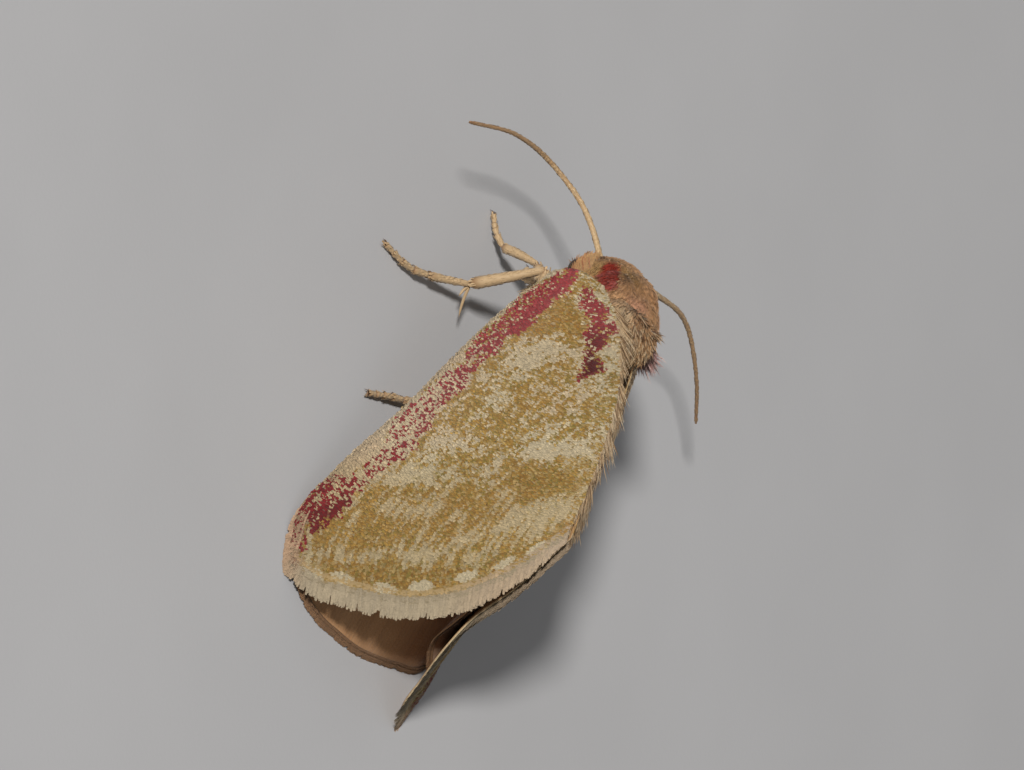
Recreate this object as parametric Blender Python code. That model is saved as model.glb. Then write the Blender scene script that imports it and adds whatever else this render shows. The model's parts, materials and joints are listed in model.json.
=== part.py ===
"""A resting owlet moth, life size. Metres, Z up, head towards -Y, the moth's left towards +X.

Every form is worked out in millimetres on the moth's own axes: x to its left, y towards the wing tips,
z above the floor. settle() then moves the whole moth so that the middle of its box is over the origin.
"""
import math

import bmesh
import bpy
import numpy as np

MM = 0.001
FIT = 0.28  # gap that neighbouring nodes keep

# Body, mm
THORAX_CENTRE = (0.0, 0.45, 3.52)
THORAX_HALF = (0.95, 1.75, 1.52)
CREST_HEIGHT = 0.42  # the tuft on the back of the thorax, above the wings
HEAD_CENTRE = (0.0, -0.8, 2.85)
HEAD_HALF = (0.62, 0.8, 0.86)
NECK_POINT = (0.0, -0.62, 3.12)  # where the cut between head and thorax passes the midline
NECK_NORMAL = (0.0, -0.86, -0.51)
PALP_LENGTH = 0.24  # how far each short palp stands out under the face
WAIST_Y = 1.75
EYE_CENTRE = (0.92, -0.76, 2.62)
EYE_RADIUS = 0.34
ABDOMEN_AXIS = ((0.0, 2.03, 2.15), (0.0, 3.3, 1.78), (0.0, 5.0, 1.35), (0.0, 6.6, 1.02), (0.0, 7.3, 0.92))
ABDOMEN_RADII = (0.64, 0.72, 0.66, 0.46, 0.2)
ABDOMEN_RINGS = 7

# Forewing outline on its outer face, mm: costa from the root to the wing tip, dorsum from the root
# to the tornus, termen from the wing tip to the tornus
COSTA = ((1.72, -0.1, 3.0), (2.2, 1.8, 2.3), (2.74, 4.84, 1.16), (3.34, 7.0, 0.53), (3.56, 8.7, 0.16),
         (3.12, 9.85, 0.12))
DORSUM = ((1.12, -0.05, 4.1), (0.8, 1.0, 4.74), (0.44, 2.4, 5.04), (0.35, 4.4, 5.12), (0.35, 6.95, 5.1))
TERMEN = ((3.12, 9.85, 0.12), (2.25, 10.08, 0.72), (1.2, 9.9, 1.9), (0.64, 9.3, 2.75), (0.43, 8.35, 3.95),
          (0.35, 6.95, 5.1))
TERMEN_HOLD = 3.0  # how fast the bell shape of the rear edge fades towards the root
SHOULDER_BULGE = 0.42
MID_BULGE = 0.3
WING_THICK = 0.42
EDGE_THICK = 0.2
RIDGE_CLEAR = 0.15  # each wing's inner face keeps this far from the midline

# Veins: place across the wing (0 costa, 1 dorsum), then where each starts and ends along it
VEINS = ((0.1, 0.02, 0.62), (0.24, 0.02, 0.97), (0.36, 0.56, 0.97), (0.47, 0.56, 0.97),
         (0.57, 0.56, 0.97), (0.67, 0.02, 0.97), (0.78, 0.45, 0.97), (0.89, 0.02, 0.95))
VEIN_HEIGHT = 0.07
VEIN_HALF = 0.018
CELL_END = 0.56
CELL_SIDES = (0.24, 0.67)

# Hindwing: the part of the forewing's span that it lies under
HIND_ALONG = (0.31, 0.9)
HIND_LOW = (0.4, 0.16)
HIND_HIGH = (0.8, 0.46)
HIND_THICK = 0.36

# Legs, left side, mm: joints from the thorax to the claw, then the radius at each joint
LEGS = {
    "fore": (((0.4, -0.2, 1.6), (0.5, -1.1, 1.38), (0.62, -1.58, 0.5), (0.78, -2.0, 0.2), (0.92, -2.35, 0.1)),
             (0.26, 0.26, 0.22, 0.17, 0.11)),
    "mid": (((0.78, 0.8, 1.66), (1.3, -0.45, 1.9), (1.62, 0.27, 0.8), (2.33, 0.61, 0.42), (3.22, 0.96, 0.2),
             (4.25, 1.03, 0.09)),
            (0.26, 0.25, 0.22, 0.19, 0.16, 0.1)),
    "hind": (((0.5, 1.3, 1.72), (1.3, 2.1, 1.35), (0.98, 3.15, 0.5), (1.3, 3.5, 0.3), (2.05, 3.9, 0.18),
              (2.78, 4.32, 0.1)),
             (0.26, 0.25, 0.22, 0.19, 0.16, 0.1)),
}
SPURS = {
    "mid": (2, ((-0.45, 0.52, -0.3), (-0.08, 0.42, -0.24))),
    "hind": (2, ((0.3, 0.3, -0.16), (-0.16, 0.42, -0.14))),
}
SPUR_RADIUS = 0.1

# Antennae, mm from root to tip; each hangs its own way
ANTENNAE = {
    "left": ((0.75, -1.7, 3.2), (1.22, -2.4, 2.75), (2.1, -2.78, 2.35), (3.78, -2.48, 2.3), (5.6, -1.54, 2.2)),
    "right": ((-0.75, -1.7, 3.2), (-2.5, -2.6, 2.9), (-3.9, -2.88, 2.7), (-6.1, -2.53, 2.1), (-7.5, -2.2, 1.5)),
}
ANTENNA_RADII = (0.24, 0.22, 0.1)

COLOURS = {
    "head": (0.45, 0.3, 0.2), "eye": (0.05, 0.04, 0.03), "antenna": (0.4, 0.24, 0.1),
    "thorax": (0.5, 0.36, 0.25), "abdomen": (0.55, 0.42, 0.26), "forewing": (0.55, 0.45, 0.2),
    "hindwing": (0.5, 0.38, 0.24), "leg": (0.6, 0.47, 0.32),
}


def clear_scene():
    for old in list(bpy.data.objects):
        bpy.data.objects.remove(old, do_unlink=True)


def material(kind):
    found = bpy.data.materials.get(kind)
    if found:
        return found
    made = bpy.data.materials.new(kind)
    made.use_nodes = True
    shader = made.node_tree.nodes["Principled BSDF"]
    shader.inputs["Base Color"].default_value = (*COLOURS[kind], 1.0)
    shader.inputs["Roughness"].default_value = 0.25 if kind == "eye" else 0.85
    return made


def add_node(name, kind, points, faces):
    """A closed mesh object from points in millimetres."""
    mesh = bpy.data.meshes.new(name)
    mesh.from_pydata([[c * MM for c in p] for p in points], [], faces)
    mesh.update()
    obj = bpy.data.objects.new(name, mesh)
    bpy.context.scene.collection.objects.link(obj)
    own = material(kind).copy()
    own.name = name
    mesh.materials.append(own)
    return obj


def curve_through(points, share):
    """The point at this share of the length of a smooth curve through the points (cubic Hermite)."""
    pts = np.array(points, float)
    knots = np.concatenate([[0.0], np.cumsum(np.linalg.norm(np.diff(pts, axis=0), axis=1))])
    slopes = np.gradient(pts, knots, axis=0)
    at = min(max(share, 0.0), 1.0) * knots[-1]
    i = min(int(np.searchsorted(knots, at, side="right")) - 1, len(pts) - 2)
    span = knots[i + 1] - knots[i]
    t = (at - knots[i]) / span
    return (
        (2 * t**3 - 3 * t**2 + 1) * pts[i]
        + (t**3 - 2 * t**2 + t) * span * slopes[i]
        + (3 * t**2 - 2 * t**3) * pts[i + 1]
        + (t**3 - t**2) * span * slopes[i + 1]
    )


def smooth_step(low, high, value):
    t = min(max((value - low) / (high - low), 0.0), 1.0)
    return t * t * (3 - 2 * t)


def tube(name, kind, joints, radii, sides, rings, swell=None, side=1):
    """A closed tube through the joints, flat where it would pass the floor."""
    stops = np.linspace(0, 1, len(radii))
    points, faces = [], []
    up = np.array([0.0, 0.0, 1.0])
    for ring in range(rings + 1):
        share = ring / rings
        centre = curve_through(joints, share)
        ahead = curve_through(joints, share + 0.01) - curve_through(joints, share - 0.01)
        ahead /= np.linalg.norm(ahead)
        across = np.cross(ahead, up)
        if np.linalg.norm(across) < 0.05:
            across = np.array([1.0, 0.0, 0.0])
        across /= np.linalg.norm(across)
        top = np.cross(across, ahead)
        radius = np.interp(share, stops, radii) * (swell(share) if swell else 1.0)
        for k in range(sides):
            turn = 2 * math.pi * k / sides
            p = centre + radius * (math.cos(turn) * across + math.sin(turn) * top)
            points.append((side * p[0], p[1], max(p[2], 0.0)))
    for ring in range(rings):
        for k in range(sides):
            a = ring * sides + k
            b = ring * sides + (k + 1) % sides
            faces.append((a, a + sides, b + sides, b))
    faces.append(tuple(range(sides)))
    faces.append(tuple(rings * sides + k for k in reversed(range(sides))))
    return facing_out(add_node(name, kind, points, faces))


def facing_out(obj):
    work = bmesh.new()
    work.from_mesh(obj.data)
    bmesh.ops.triangulate(work, faces=[f for f in work.faces if len(f.verts) > 4])
    bmesh.ops.recalc_face_normals(work, faces=work.faces)
    if work.calc_volume(signed=True) < 0:
        bmesh.ops.reverse_faces(work, faces=work.faces)
    work.to_mesh(obj.data)
    work.free()
    return obj


def ellipsoid(name, kind, centre, half, rings, sides, bumps=()):
    """A closed ellipsoid with its poles in front and behind; each bump is (direction, height, spread)."""
    points = [(centre[0], centre[1] - half[1], centre[2])]
    for ring in range(1, rings):
        tilt = math.pi * ring / rings
        for k in range(sides):
            turn = 2 * math.pi * k / sides
            way = np.array([math.sin(tilt) * math.cos(turn), -math.cos(tilt), math.sin(tilt) * math.sin(turn)])
            rise = 0.0
            for direction, height, spread in bumps:
                toward = np.array(direction) / np.linalg.norm(direction)
                rise += height * math.exp(-(np.arccos(np.clip(way @ toward, -1, 1)) / spread) ** 2)
            points.append(tuple(np.array(centre) + way * (np.array(half) + rise)))
    points.append((centre[0], centre[1] + half[1], centre[2]))
    faces = []
    for k in range(sides):
        after = (k + 1) % sides
        faces.append((0, 1 + after, 1 + k))
        last = 1 + (rings - 2) * sides
        faces.append((last + k, last + after, len(points) - 1))
        for ring in range(rings - 2):
            a = 1 + ring * sides
            faces.append((a + k, a + after, a + sides + after, a + sides + k))
    return facing_out(add_node(name, kind, points, faces))


def cut_away(obj, point, normal):
    """Removes what lies on the normal's side of a plane and closes the cut."""
    work = bmesh.new()
    work.from_mesh(obj.data)
    geometry = work.verts[:] + work.edges[:] + work.faces[:]
    cut = bmesh.ops.bisect_plane(
        work, geom=geometry, plane_co=[c * MM for c in point], plane_no=normal, clear_outer=True, dist=1e-9
    )
    rim = [e for e in cut["geom_cut"] if isinstance(e, bmesh.types.BMEdge)]
    made = bmesh.ops.holes_fill(work, edges=rim, sides=0)
    bmesh.ops.triangulate(work, faces=made["faces"])
    work.to_mesh(obj.data)
    work.free()
    return facing_out(obj)


def outer_face(along, across):
    """A point of the left forewing's outer face, from root to termen and from costa to dorsum."""
    low, high = curve_through(COSTA, along), curve_through(DORSUM, along)
    chord = high - low
    out = np.array([chord[2], 0.0, -chord[0]])
    out /= np.linalg.norm(out)
    bulge = SHOULDER_BULGE * (1 - smooth_step(0.05, 0.35, along))
    bulge += MID_BULGE * smooth_step(0.1, 0.35, along) * (1 - smooth_step(0.55, 0.9, along))
    rear_low, rear_high = np.array(TERMEN[0]), np.array(TERMEN[-1])
    bell = curve_through(TERMEN, across) - (rear_low + across * (rear_high - rear_low))
    return low + across * chord + out * bulge * math.sin(math.pi * across) + bell * along**TERMEN_HOLD


def face_normal(along, across):
    step = 0.004
    a = outer_face(min(along + step, 1), across) - outer_face(max(along - step, 0), across)
    b = outer_face(along, min(across + step, 1)) - outer_face(along, max(across - step, 0))
    out = np.cross(b, a)
    out /= np.linalg.norm(out)
    return out if out[0] > 0 else -out


def vein_rise(along, across):
    """How far a vein stands above the membrane here."""
    rise = 0.0
    for place, start, end in VEINS:
        here = smooth_step(start - 0.03, start + 0.01, along) * (1 - smooth_step(end - 0.02, end + 0.02, along))
        rise = max(rise, here * max(0.0, 1 - abs(across - place) / VEIN_HALF))
    if CELL_SIDES[0] < across < CELL_SIDES[1]:
        rise = max(rise, max(0.0, 1 - abs(along - CELL_END) / 0.022))
    return VEIN_HEIGHT * rise


def across_lines():
    lines = {0.0, 0.03, 0.97, 1.0}
    for place, _, _ in VEINS:
        lines |= {place - VEIN_HALF, place, place + VEIN_HALF}
    return sorted(lines)


def along_lines():
    lines = {0.0, 0.035, CELL_END - 0.022, CELL_END, CELL_END + 0.022, 0.93, 0.97, 1.0}
    lines |= {round(0.08 + 0.055 * k, 3) for k in range(16) if abs(0.08 + 0.055 * k - CELL_END) > 0.03}
    return sorted(lines)


def slab(name, kind, outer, inner, side):
    """A closed slab between two grids of points, split into triangles alike on both faces."""
    rows, columns = len(outer), len(outer[0])
    flat = [p for grid in (outer, inner) for row in grid for p in row]
    points = [(side * p[0], p[1], max(p[2], 0.0)) for p in flat]
    back = rows * columns
    faces = []
    for i in range(rows - 1):
        for j in range(columns - 1):
            a, b = i * columns + j, i * columns + j + 1
            c, d = b + columns, a + columns
            halves = ((a, b, c), (a, c, d)) if (i + j) % 2 else ((a, b, d), (b, c, d))
            for half in halves:
                faces.append(half)
                faces.append(tuple(back + v for v in reversed(half)))
    rim = [j for j in range(columns)] + [i * columns + columns - 1 for i in range(1, rows)]
    rim += [(rows - 1) * columns + j for j in range(columns - 2, -1, -1)]
    rim += [i * columns for i in range(rows - 2, 0, -1)]
    for k, a in enumerate(rim):
        b = rim[(k + 1) % len(rim)]
        faces.append((b, a, back + a))
        faces.append((b, back + a, back + b))
    return facing_out(add_node(name, kind, points, faces))


def edge_share(along, across):
    """0 at the wing's margin, 1 well inside it."""
    return min(
        smooth_step(0.0, 0.06, along + 0.02), smooth_step(0.0, 0.09, 1 - along),
        smooth_step(0.0, 0.06, across), smooth_step(0.0, 0.1, 1 - across),
    )


def inner_point(along, across, depth, clear):
    """The point this deep under the outer face, held off the midline."""
    top = outer_face(along, across)
    low = top - face_normal(along, across) * depth
    low[0] = max(low[0], min(clear, top[0] - 0.1))
    low[2] = min(low[2], top[2])
    return low


def forewing(side_name, side):
    outer, inner = [], []
    for along in along_lines():
        outer.append([outer_face(along, v) + face_normal(along, v) * vein_rise(along, v) for v in across_lines()])
        inner.append([
            inner_point(along, v, EDGE_THICK + (WING_THICK - EDGE_THICK) * edge_share(along, v), RIDGE_CLEAR)
            for v in across_lines()
        ])
    slab("forewing_" + side_name, "forewing", outer, inner, side)


def hindwing(side_name, side):
    outer, inner = [], []
    for i in range(15):
        along = HIND_ALONG[0] + (HIND_ALONG[1] - HIND_ALONG[0]) * i / 14
        spread = i / 14
        upper, lower = [], []
        for j in range(13):
            share = j / 12
            low = HIND_LOW[0] + (HIND_LOW[1] - HIND_LOW[0]) * spread
            high = HIND_HIGH[0] + (HIND_HIGH[1] - HIND_HIGH[0]) * spread
            across = low + (high - low) * share
            rim = min(smooth_step(0, 0.14, share), smooth_step(0, 0.14, 1 - share))
            rim = min(rim, smooth_step(0, 0.12, 1 - i / 14))
            depth = WING_THICK + FIT
            upper.append(inner_point(along, across, depth, RIDGE_CLEAR + 0.14))
            lower.append(inner_point(along, across, depth + 0.12 + (HIND_THICK - 0.12) * rim, RIDGE_CLEAR))
        outer.append(upper)
        inner.append(lower)
    slab("hindwing_" + side_name, "hindwing", outer, inner, side)


def ring_swell(share):
    return 1 + 0.045 * abs(math.sin(math.pi * ABDOMEN_RINGS * share)) ** 0.6


def fuse(target, pieces):
    """Unites the pieces with the target and keeps the largest closed surface."""
    group = bpy.data.collections.new("pieces")
    bpy.context.scene.collection.children.link(group)
    for piece in pieces:
        bpy.context.scene.collection.objects.unlink(piece)
        group.objects.link(piece)
    union = target.modifiers.new("union", "BOOLEAN")
    union.operation = "UNION"
    union.operand_type = "COLLECTION"
    union.collection = group
    union.solver = "EXACT"
    bpy.context.view_layer.update()
    graph = bpy.context.evaluated_depsgraph_get()
    joined = bpy.data.meshes.new_from_object(target.evaluated_get(graph))
    target.modifiers.remove(union)
    target.data = joined
    for piece in pieces:
        bpy.data.objects.remove(piece, do_unlink=True)
    bpy.data.collections.remove(group)
    keep_largest(target)


def keep_largest(obj):
    work = bmesh.new()
    work.from_mesh(obj.data)
    bmesh.ops.remove_doubles(work, verts=work.verts, dist=2e-7)
    unseen, groups = set(work.verts), []
    while unseen:
        stack, group = [unseen.pop()], []
        while stack:
            vert = stack.pop()
            group.append(vert)
            for edge in vert.link_edges:
                other = edge.other_vert(vert)
                if other in unseen:
                    unseen.remove(other)
                    stack.append(other)
        groups.append(group)
    groups.sort(key=len)
    loose = [v for group in groups[:-1] for v in group]
    if loose:
        bmesh.ops.delete(work, geom=loose, context="VERTS")
    work.to_mesh(obj.data)
    work.free()


def leg(place, side_name, side):
    joints, radii = LEGS[place]
    name = f"{place}_leg_{side_name}"
    made = tube(name, "leg", joints, radii, 8, 20, side=side)
    if place not in SPURS:
        return
    at, ways = SPURS[place]
    root = np.array(joints[at])
    spurs = []
    for k, way in enumerate(ways):
        path = [root, root + 0.5 * np.array(way), root + np.array(way)]
        radii = (SPUR_RADIUS, SPUR_RADIUS * 0.75, SPUR_RADIUS * 0.4)
        spurs.append(tube(f"spur_{k}", "leg", path, radii, 6, 3, side=side))
    fuse(made, spurs)


def settle():
    """Moves the moth so that the middle of its box is over the origin."""
    nodes = list(bpy.context.scene.collection.objects)
    spots = np.array([v.co for obj in nodes for v in obj.data.vertices])
    low, high = spots.min(axis=0), spots.max(axis=0)
    shift = (-(low[0] + high[0]) / 2, -(low[1] + high[1]) / 2, 0.0)
    for obj in nodes:
        for vert in obj.data.vertices:
            vert.co.x += shift[0]
            vert.co.y += shift[1]
        obj.data.update()


def main():
    clear_scene()
    thorax_bumps = (
        ((0.5, -0.62, 0.7), 0.07, 0.35), ((-0.5, -0.62, 0.7), 0.07, 0.35),
        ((0.85, 0.05, 0.5), -0.36, 0.5), ((-0.85, 0.05, 0.5), -0.36, 0.5), ((0.0, -0.75, 0.7), 0.16, 0.4),
        ((0.45, 0.75, 0.5), -0.36, 0.5), ((-0.45, 0.75, 0.5), -0.36, 0.5), ((0.0, 0.12, 1.0), CREST_HEIGHT, 0.3),
    )
    thorax = ellipsoid("thorax", "thorax", THORAX_CENTRE, THORAX_HALF, 26, 28, thorax_bumps)
    neck = np.array(NECK_POINT)
    ahead = np.array(NECK_NORMAL)
    cut_away(thorax, neck - ahead * FIT / 2, NECK_NORMAL)
    cut_away(thorax, (0, WAIST_Y, 0), (0, 1, 0))
    head_bumps = (
        ((0, -0.8, 0.6), 0.08, 0.5), ((0.3, -0.75, -0.6), PALP_LENGTH, 0.3),
        ((-0.3, -0.75, -0.6), PALP_LENGTH, 0.3),
    )
    head = ellipsoid("head", "head", HEAD_CENTRE, HEAD_HALF, 22, 26, head_bumps)
    cut_away(head, neck + ahead * FIT / 2, [-c for c in NECK_NORMAL])
    tube("abdomen", "abdomen", ABDOMEN_AXIS, ABDOMEN_RADII, 20, 34, swell=ring_swell)
    for side_name, side in (("left", 1), ("right", -1)):
        x, y, z = EYE_CENTRE
        eye = ellipsoid("eye_" + side_name, "eye", (side * x, y, z), (EYE_RADIUS,) * 3, 12, 16)
        cut_away(eye, (side * (x - 0.04), y, z), (-side, 0, 0))
        tube("antenna_" + side_name, "antenna", ANTENNAE[side_name], ANTENNA_RADII, 8, 26)
        forewing(side_name, side)
        hindwing(side_name, side)
        for place in LEGS:
            leg(place, side_name, side)
    settle()


main()
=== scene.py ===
import json
import math

import bmesh
import bpy
import numpy as np
from mathutils import Matrix, Vector

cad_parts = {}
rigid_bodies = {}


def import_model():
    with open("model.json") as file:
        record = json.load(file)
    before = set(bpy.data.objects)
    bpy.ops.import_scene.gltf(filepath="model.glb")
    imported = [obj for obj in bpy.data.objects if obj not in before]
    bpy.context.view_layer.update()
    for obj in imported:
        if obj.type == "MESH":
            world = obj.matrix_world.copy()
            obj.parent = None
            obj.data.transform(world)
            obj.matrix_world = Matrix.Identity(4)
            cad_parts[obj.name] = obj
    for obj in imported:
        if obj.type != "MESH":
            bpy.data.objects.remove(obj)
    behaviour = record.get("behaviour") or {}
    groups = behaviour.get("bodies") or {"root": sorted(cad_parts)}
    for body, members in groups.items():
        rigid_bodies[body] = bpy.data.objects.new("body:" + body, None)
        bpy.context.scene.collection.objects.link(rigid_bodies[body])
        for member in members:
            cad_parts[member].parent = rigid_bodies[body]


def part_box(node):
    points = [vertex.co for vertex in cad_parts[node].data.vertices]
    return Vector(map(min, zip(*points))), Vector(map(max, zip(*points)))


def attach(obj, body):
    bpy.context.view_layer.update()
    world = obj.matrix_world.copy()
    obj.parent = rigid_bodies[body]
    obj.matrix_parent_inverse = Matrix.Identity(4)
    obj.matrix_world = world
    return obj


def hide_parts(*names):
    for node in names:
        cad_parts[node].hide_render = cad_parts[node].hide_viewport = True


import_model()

# The moth is drawn in millimetres on its own axes, as its solids are: x to its left, y towards the
# wing tips, z above the floor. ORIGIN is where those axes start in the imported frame.
MM = 0.001
WAIST_Y = 1.75  # where the thorax solid ends at the back
thorax_low, thorax_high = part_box("thorax")
ORIGIN = Vector(((thorax_low[0] + thorax_high[0]) / 2, thorax_high[1] - WAIST_Y * MM, 0.0))
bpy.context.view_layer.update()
LOWEST = 0.004  # nothing of the moth comes nearer to the floor than this

# Camera, from the fit of the photo: 42 pixels to the millimetre
IMAGE_WIDTH, IMAGE_HEIGHT = 1024, 770
PIXELS_PER_MM = 42.0
PHOTO_RIGHT = Vector((-0.441, -0.320, 0.8387))
PHOTO_UP = Vector((0.588, -0.810, 0.0))
VIEW_CENTRE = Vector((0.22, 2.23, 2.0))
CAMERA_DISTANCE = 210.0
SENSOR = 36.0

# Forewing membranes; the fringe stands beyond their rear edges. The right one lies further back.
# The inner edge is the one along the moth's back.
LEFT_WING = {
    "costa": ((1.66, -0.1, 3.1), (2.2, 1.8, 2.3), (2.74, 4.84, 1.16), (3.36, 7.0, 0.48), (3.6, 8.4, 0.15),
              (3.14, 9.42, 0.06)),
    "inner": ((1.12, -0.05, 4.15), (0.75, 1.0, 4.8), (0.3, 2.3, 5.06), (0.1, 4.2, 5.15), (0.1, 6.45, 5.12)),
    "rear": ((3.14, 9.42, 0.06), (2.5, 9.45, 0.42), (1.85, 9.34, 1.15), (1.0, 9.0, 2.1), (0.5, 8.5, 2.95),
             (0.28, 7.8, 3.95), (0.1, 6.45, 5.12)),
}
RIGHT_WING = {
    "costa": ((1.66, -0.1, 3.1), (2.15, 1.8, 2.3), (2.6, 4.84, 1.2), (3.0, 7.0, 0.55), (3.2, 8.7, 0.18),
              (2.95, 9.8, 0.06)),
    "inner": ((1.12, -0.05, 4.0), (0.72, 1.0, 4.52), (0.28, 2.3, 4.93), (0.1, 4.2, 5.12), (0.1, 6.45, 5.12)),
    "rear": ((2.95, 9.8, 0.06), (2.45, 9.7, 0.4), (1.8, 9.38, 1.15), (1.0, 9.0, 2.1), (0.5, 8.5, 2.95),
             (0.28, 7.8, 3.95), (0.1, 6.45, 5.12)),
}
BELL_HOLD = 3.0  # how fast the bell shape of the rear edge fades towards the root
SHOULDER_BULGE = 0.36
MID_BULGE = 0.3
MEMBRANE = 0.05
SIDES = ((1, "left"), (-1, "right"))


def through(points, share):
    """Places at these shares of the length of a smooth curve through the points (cubic Hermite)."""
    pts = np.array(points, float)
    knots = np.concatenate([[0.0], np.cumsum(np.linalg.norm(np.diff(pts, axis=0), axis=1))])
    slopes = np.gradient(pts, knots, axis=0)
    at = np.clip(share, 0.0, 1.0) * knots[-1]
    i = np.clip(np.searchsorted(knots, at, side="right") - 1, 0, len(pts) - 2)
    span = (knots[i + 1] - knots[i])[..., None]
    t = (at - knots[i])[..., None] / span
    return (
        (2 * t**3 - 3 * t**2 + 1) * pts[i]
        + (t**3 - 2 * t**2 + t) * span * slopes[i]
        + (3 * t**2 - 2 * t**3) * pts[i + 1]
        + (t**3 - t**2) * span * slopes[i + 1]
    )


def ease(low, high, value):
    t = np.clip((value - low) / (high - low), 0.0, 1.0)
    return t * t * (3 - 2 * t)


def bump_at(value, middle, half):
    """1 at the middle, falling smoothly to 0 at half to either side."""
    return 1 - ease(0.0, 1.0, np.abs(value - middle) / half)


def unit(vectors):
    return vectors / np.maximum(np.linalg.norm(vectors, axis=-1, keepdims=True), 1e-9)


def sheet_of(edges, hold, rise_at):
    """A wing's upper face, from root to rear edge and from costa to inner edge, drawn as on the left."""
    first, last = np.array(edges["rear"][0]), np.array(edges["rear"][-1])

    def sheet(along, across):
        along, across = np.broadcast_arrays(np.asarray(along, float), np.asarray(across, float))
        low, high = through(edges["costa"], along), through(edges["inner"], along)
        chord = high - low
        out = unit(np.stack([np.abs(chord[..., 2]), 0 * along, np.abs(chord[..., 0])], -1))
        bell = through(edges["rear"], across) - (first + across[..., None] * (last - first))
        rise = rise_at(along, across)[..., None]
        return low + across[..., None] * chord + out * rise + bell * (along**hold)[..., None]

    return sheet


def forewing_rise(along, across):
    bulge = SHOULDER_BULGE * (1 - ease(0.05, 0.4, along))
    bulge = bulge + MID_BULGE * ease(0.1, 0.35, along) * (1 - ease(0.55, 0.9, along))
    return bulge * np.sin(np.pi * across)


SHEET_SIDE = np.array((0.5, 0.0, 1.0))  # a left wing's outer face looks this way


def sheet_ways(sheet, along, across):
    """(outward normal, way towards the rear edge, way towards the inner edge) of a sheet."""
    step = 0.004
    rearward = sheet(np.minimum(along + step, 1), across) - sheet(np.maximum(along - step, 0), across)
    upward = sheet(along, np.minimum(across + step, 1)) - sheet(along, np.maximum(across - step, 0))
    normal = unit(np.cross(upward, rearward))
    normal = np.where(normal @ SHEET_SIDE < 0, -1.0, 1.0)[..., None] * normal
    return normal, unit(rearward), unit(upward)


# Nodes of a material, in short calls


class Finish:
    """One Principled material and the calls that build its nodes."""

    def __init__(self, name, roughness, specular=0.3, sheen=0.0, coat=0.0):
        self.material = bpy.data.materials.new(name)
        self.material.use_nodes = True
        self.tree = self.material.node_tree
        self.shader = self.tree.nodes["Principled BSDF"]
        self.shader.inputs["Roughness"].default_value = roughness
        self.shader.inputs["Specular IOR Level"].default_value = specular
        self.shader.inputs["Sheen Weight"].default_value = sheen
        self.shader.inputs["Sheen Roughness"].default_value = 0.5
        self.shader.inputs["Coat Weight"].default_value = coat

    def add(self, kind, **settings):
        node = self.tree.nodes.new(kind)
        for key, value in settings.items():
            setattr(node, key, value)
        return node

    def join(self, source, target):
        if hasattr(source, "is_output"):
            self.tree.links.new(source, target)
        else:
            target.default_value = source

    def attribute(self, name, output="Fac"):
        return self.add("ShaderNodeAttribute", attribute_name=name).outputs[output]

    def place_mm(self, stretch=(1.0, 1.0, 1.0)):
        """Object coordinates in millimetres, stretched."""
        return self.stretch(self.add("ShaderNodeTexCoord").outputs["Object"], [s / MM for s in stretch])

    def stretch(self, vector, scale):
        node = self.add("ShaderNodeMapping")
        node.inputs["Scale"].default_value = scale
        self.join(vector, node.inputs["Vector"])
        return node.outputs["Vector"]

    def noise(self, vector, scale, detail=2.0, rough=0.5):
        node = self.add("ShaderNodeTexNoise")
        self.join(vector, node.inputs["Vector"])
        node.inputs["Scale"].default_value = scale
        node.inputs["Detail"].default_value = detail
        node.inputs["Roughness"].default_value = rough
        return node.outputs["Fac"]

    def cells(self, vector, scale):
        node = self.add("ShaderNodeTexVoronoi")
        self.join(vector, node.inputs["Vector"])
        node.inputs["Scale"].default_value = scale
        return node.outputs["Distance"]

    def math(self, operation, first, second=0.0):
        node = self.add("ShaderNodeMath", operation=operation)
        self.join(first, node.inputs[0])
        self.join(second, node.inputs[1])
        return node.outputs[0]

    def span(self, value, low, high, to_low=0.0, to_high=1.0):
        node = self.add("ShaderNodeMapRange")
        self.join(value, node.inputs["Value"])
        for key, number in (("From Min", low), ("From Max", high), ("To Min", to_low), ("To Max", to_high)):
            self.join(number, node.inputs[key])
        return node.outputs["Result"]

    def mix(self, share, first, second, blend="MIX"):
        node = self.add("ShaderNodeMix", data_type="RGBA", blend_type=blend)
        self.join(share, node.inputs[0])
        for value, socket in ((first, node.inputs[6]), (second, node.inputs[7])):
            self.join((*value, 1.0) if isinstance(value, tuple) else value, socket)
        return node.outputs[2]

    def bump(self, height, depth_mm, strength=1.0):
        node = self.add("ShaderNodeBump")
        node.inputs["Distance"].default_value = depth_mm * MM
        node.inputs["Strength"].default_value = strength
        self.join(height, node.inputs["Height"])
        self.join(node.outputs["Normal"], self.shader.inputs["Normal"])

    def colour(self, value):
        self.join((*value, 1.0) if isinstance(value, tuple) else value, self.shader.inputs["Base Color"])
        return self.material


def srgb(red, green, blue):
    """A screen colour, 0 to 255, as linear light."""
    shares = [c / 255 for c in (red, green, blue)]
    return tuple(s / 12.92 if s <= 0.04045 else ((s + 0.055) / 1.055) ** 2.4 for s in shares)


# Meshes


def new_mesh(name, points, faces):
    mesh = bpy.data.meshes.new(name)
    mesh.from_pydata([tuple(p) for p in np.asarray(points, float)], [], [tuple(f) for f in faces])
    mesh.update()
    return mesh


def placed(name, data):
    """A new object in the scene."""
    obj = bpy.data.objects.new(name, data)
    bpy.context.scene.collection.objects.link(obj)
    return obj


def reworked(mesh, change):
    """The same mesh after a bmesh change."""
    work = bmesh.new()
    work.from_mesh(mesh)
    change(work)
    work.to_mesh(mesh)
    work.free()
    return mesh


def facing_out(mesh):
    return reworked(mesh, lambda work: bmesh.ops.recalc_face_normals(work, faces=work.faces))


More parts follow.
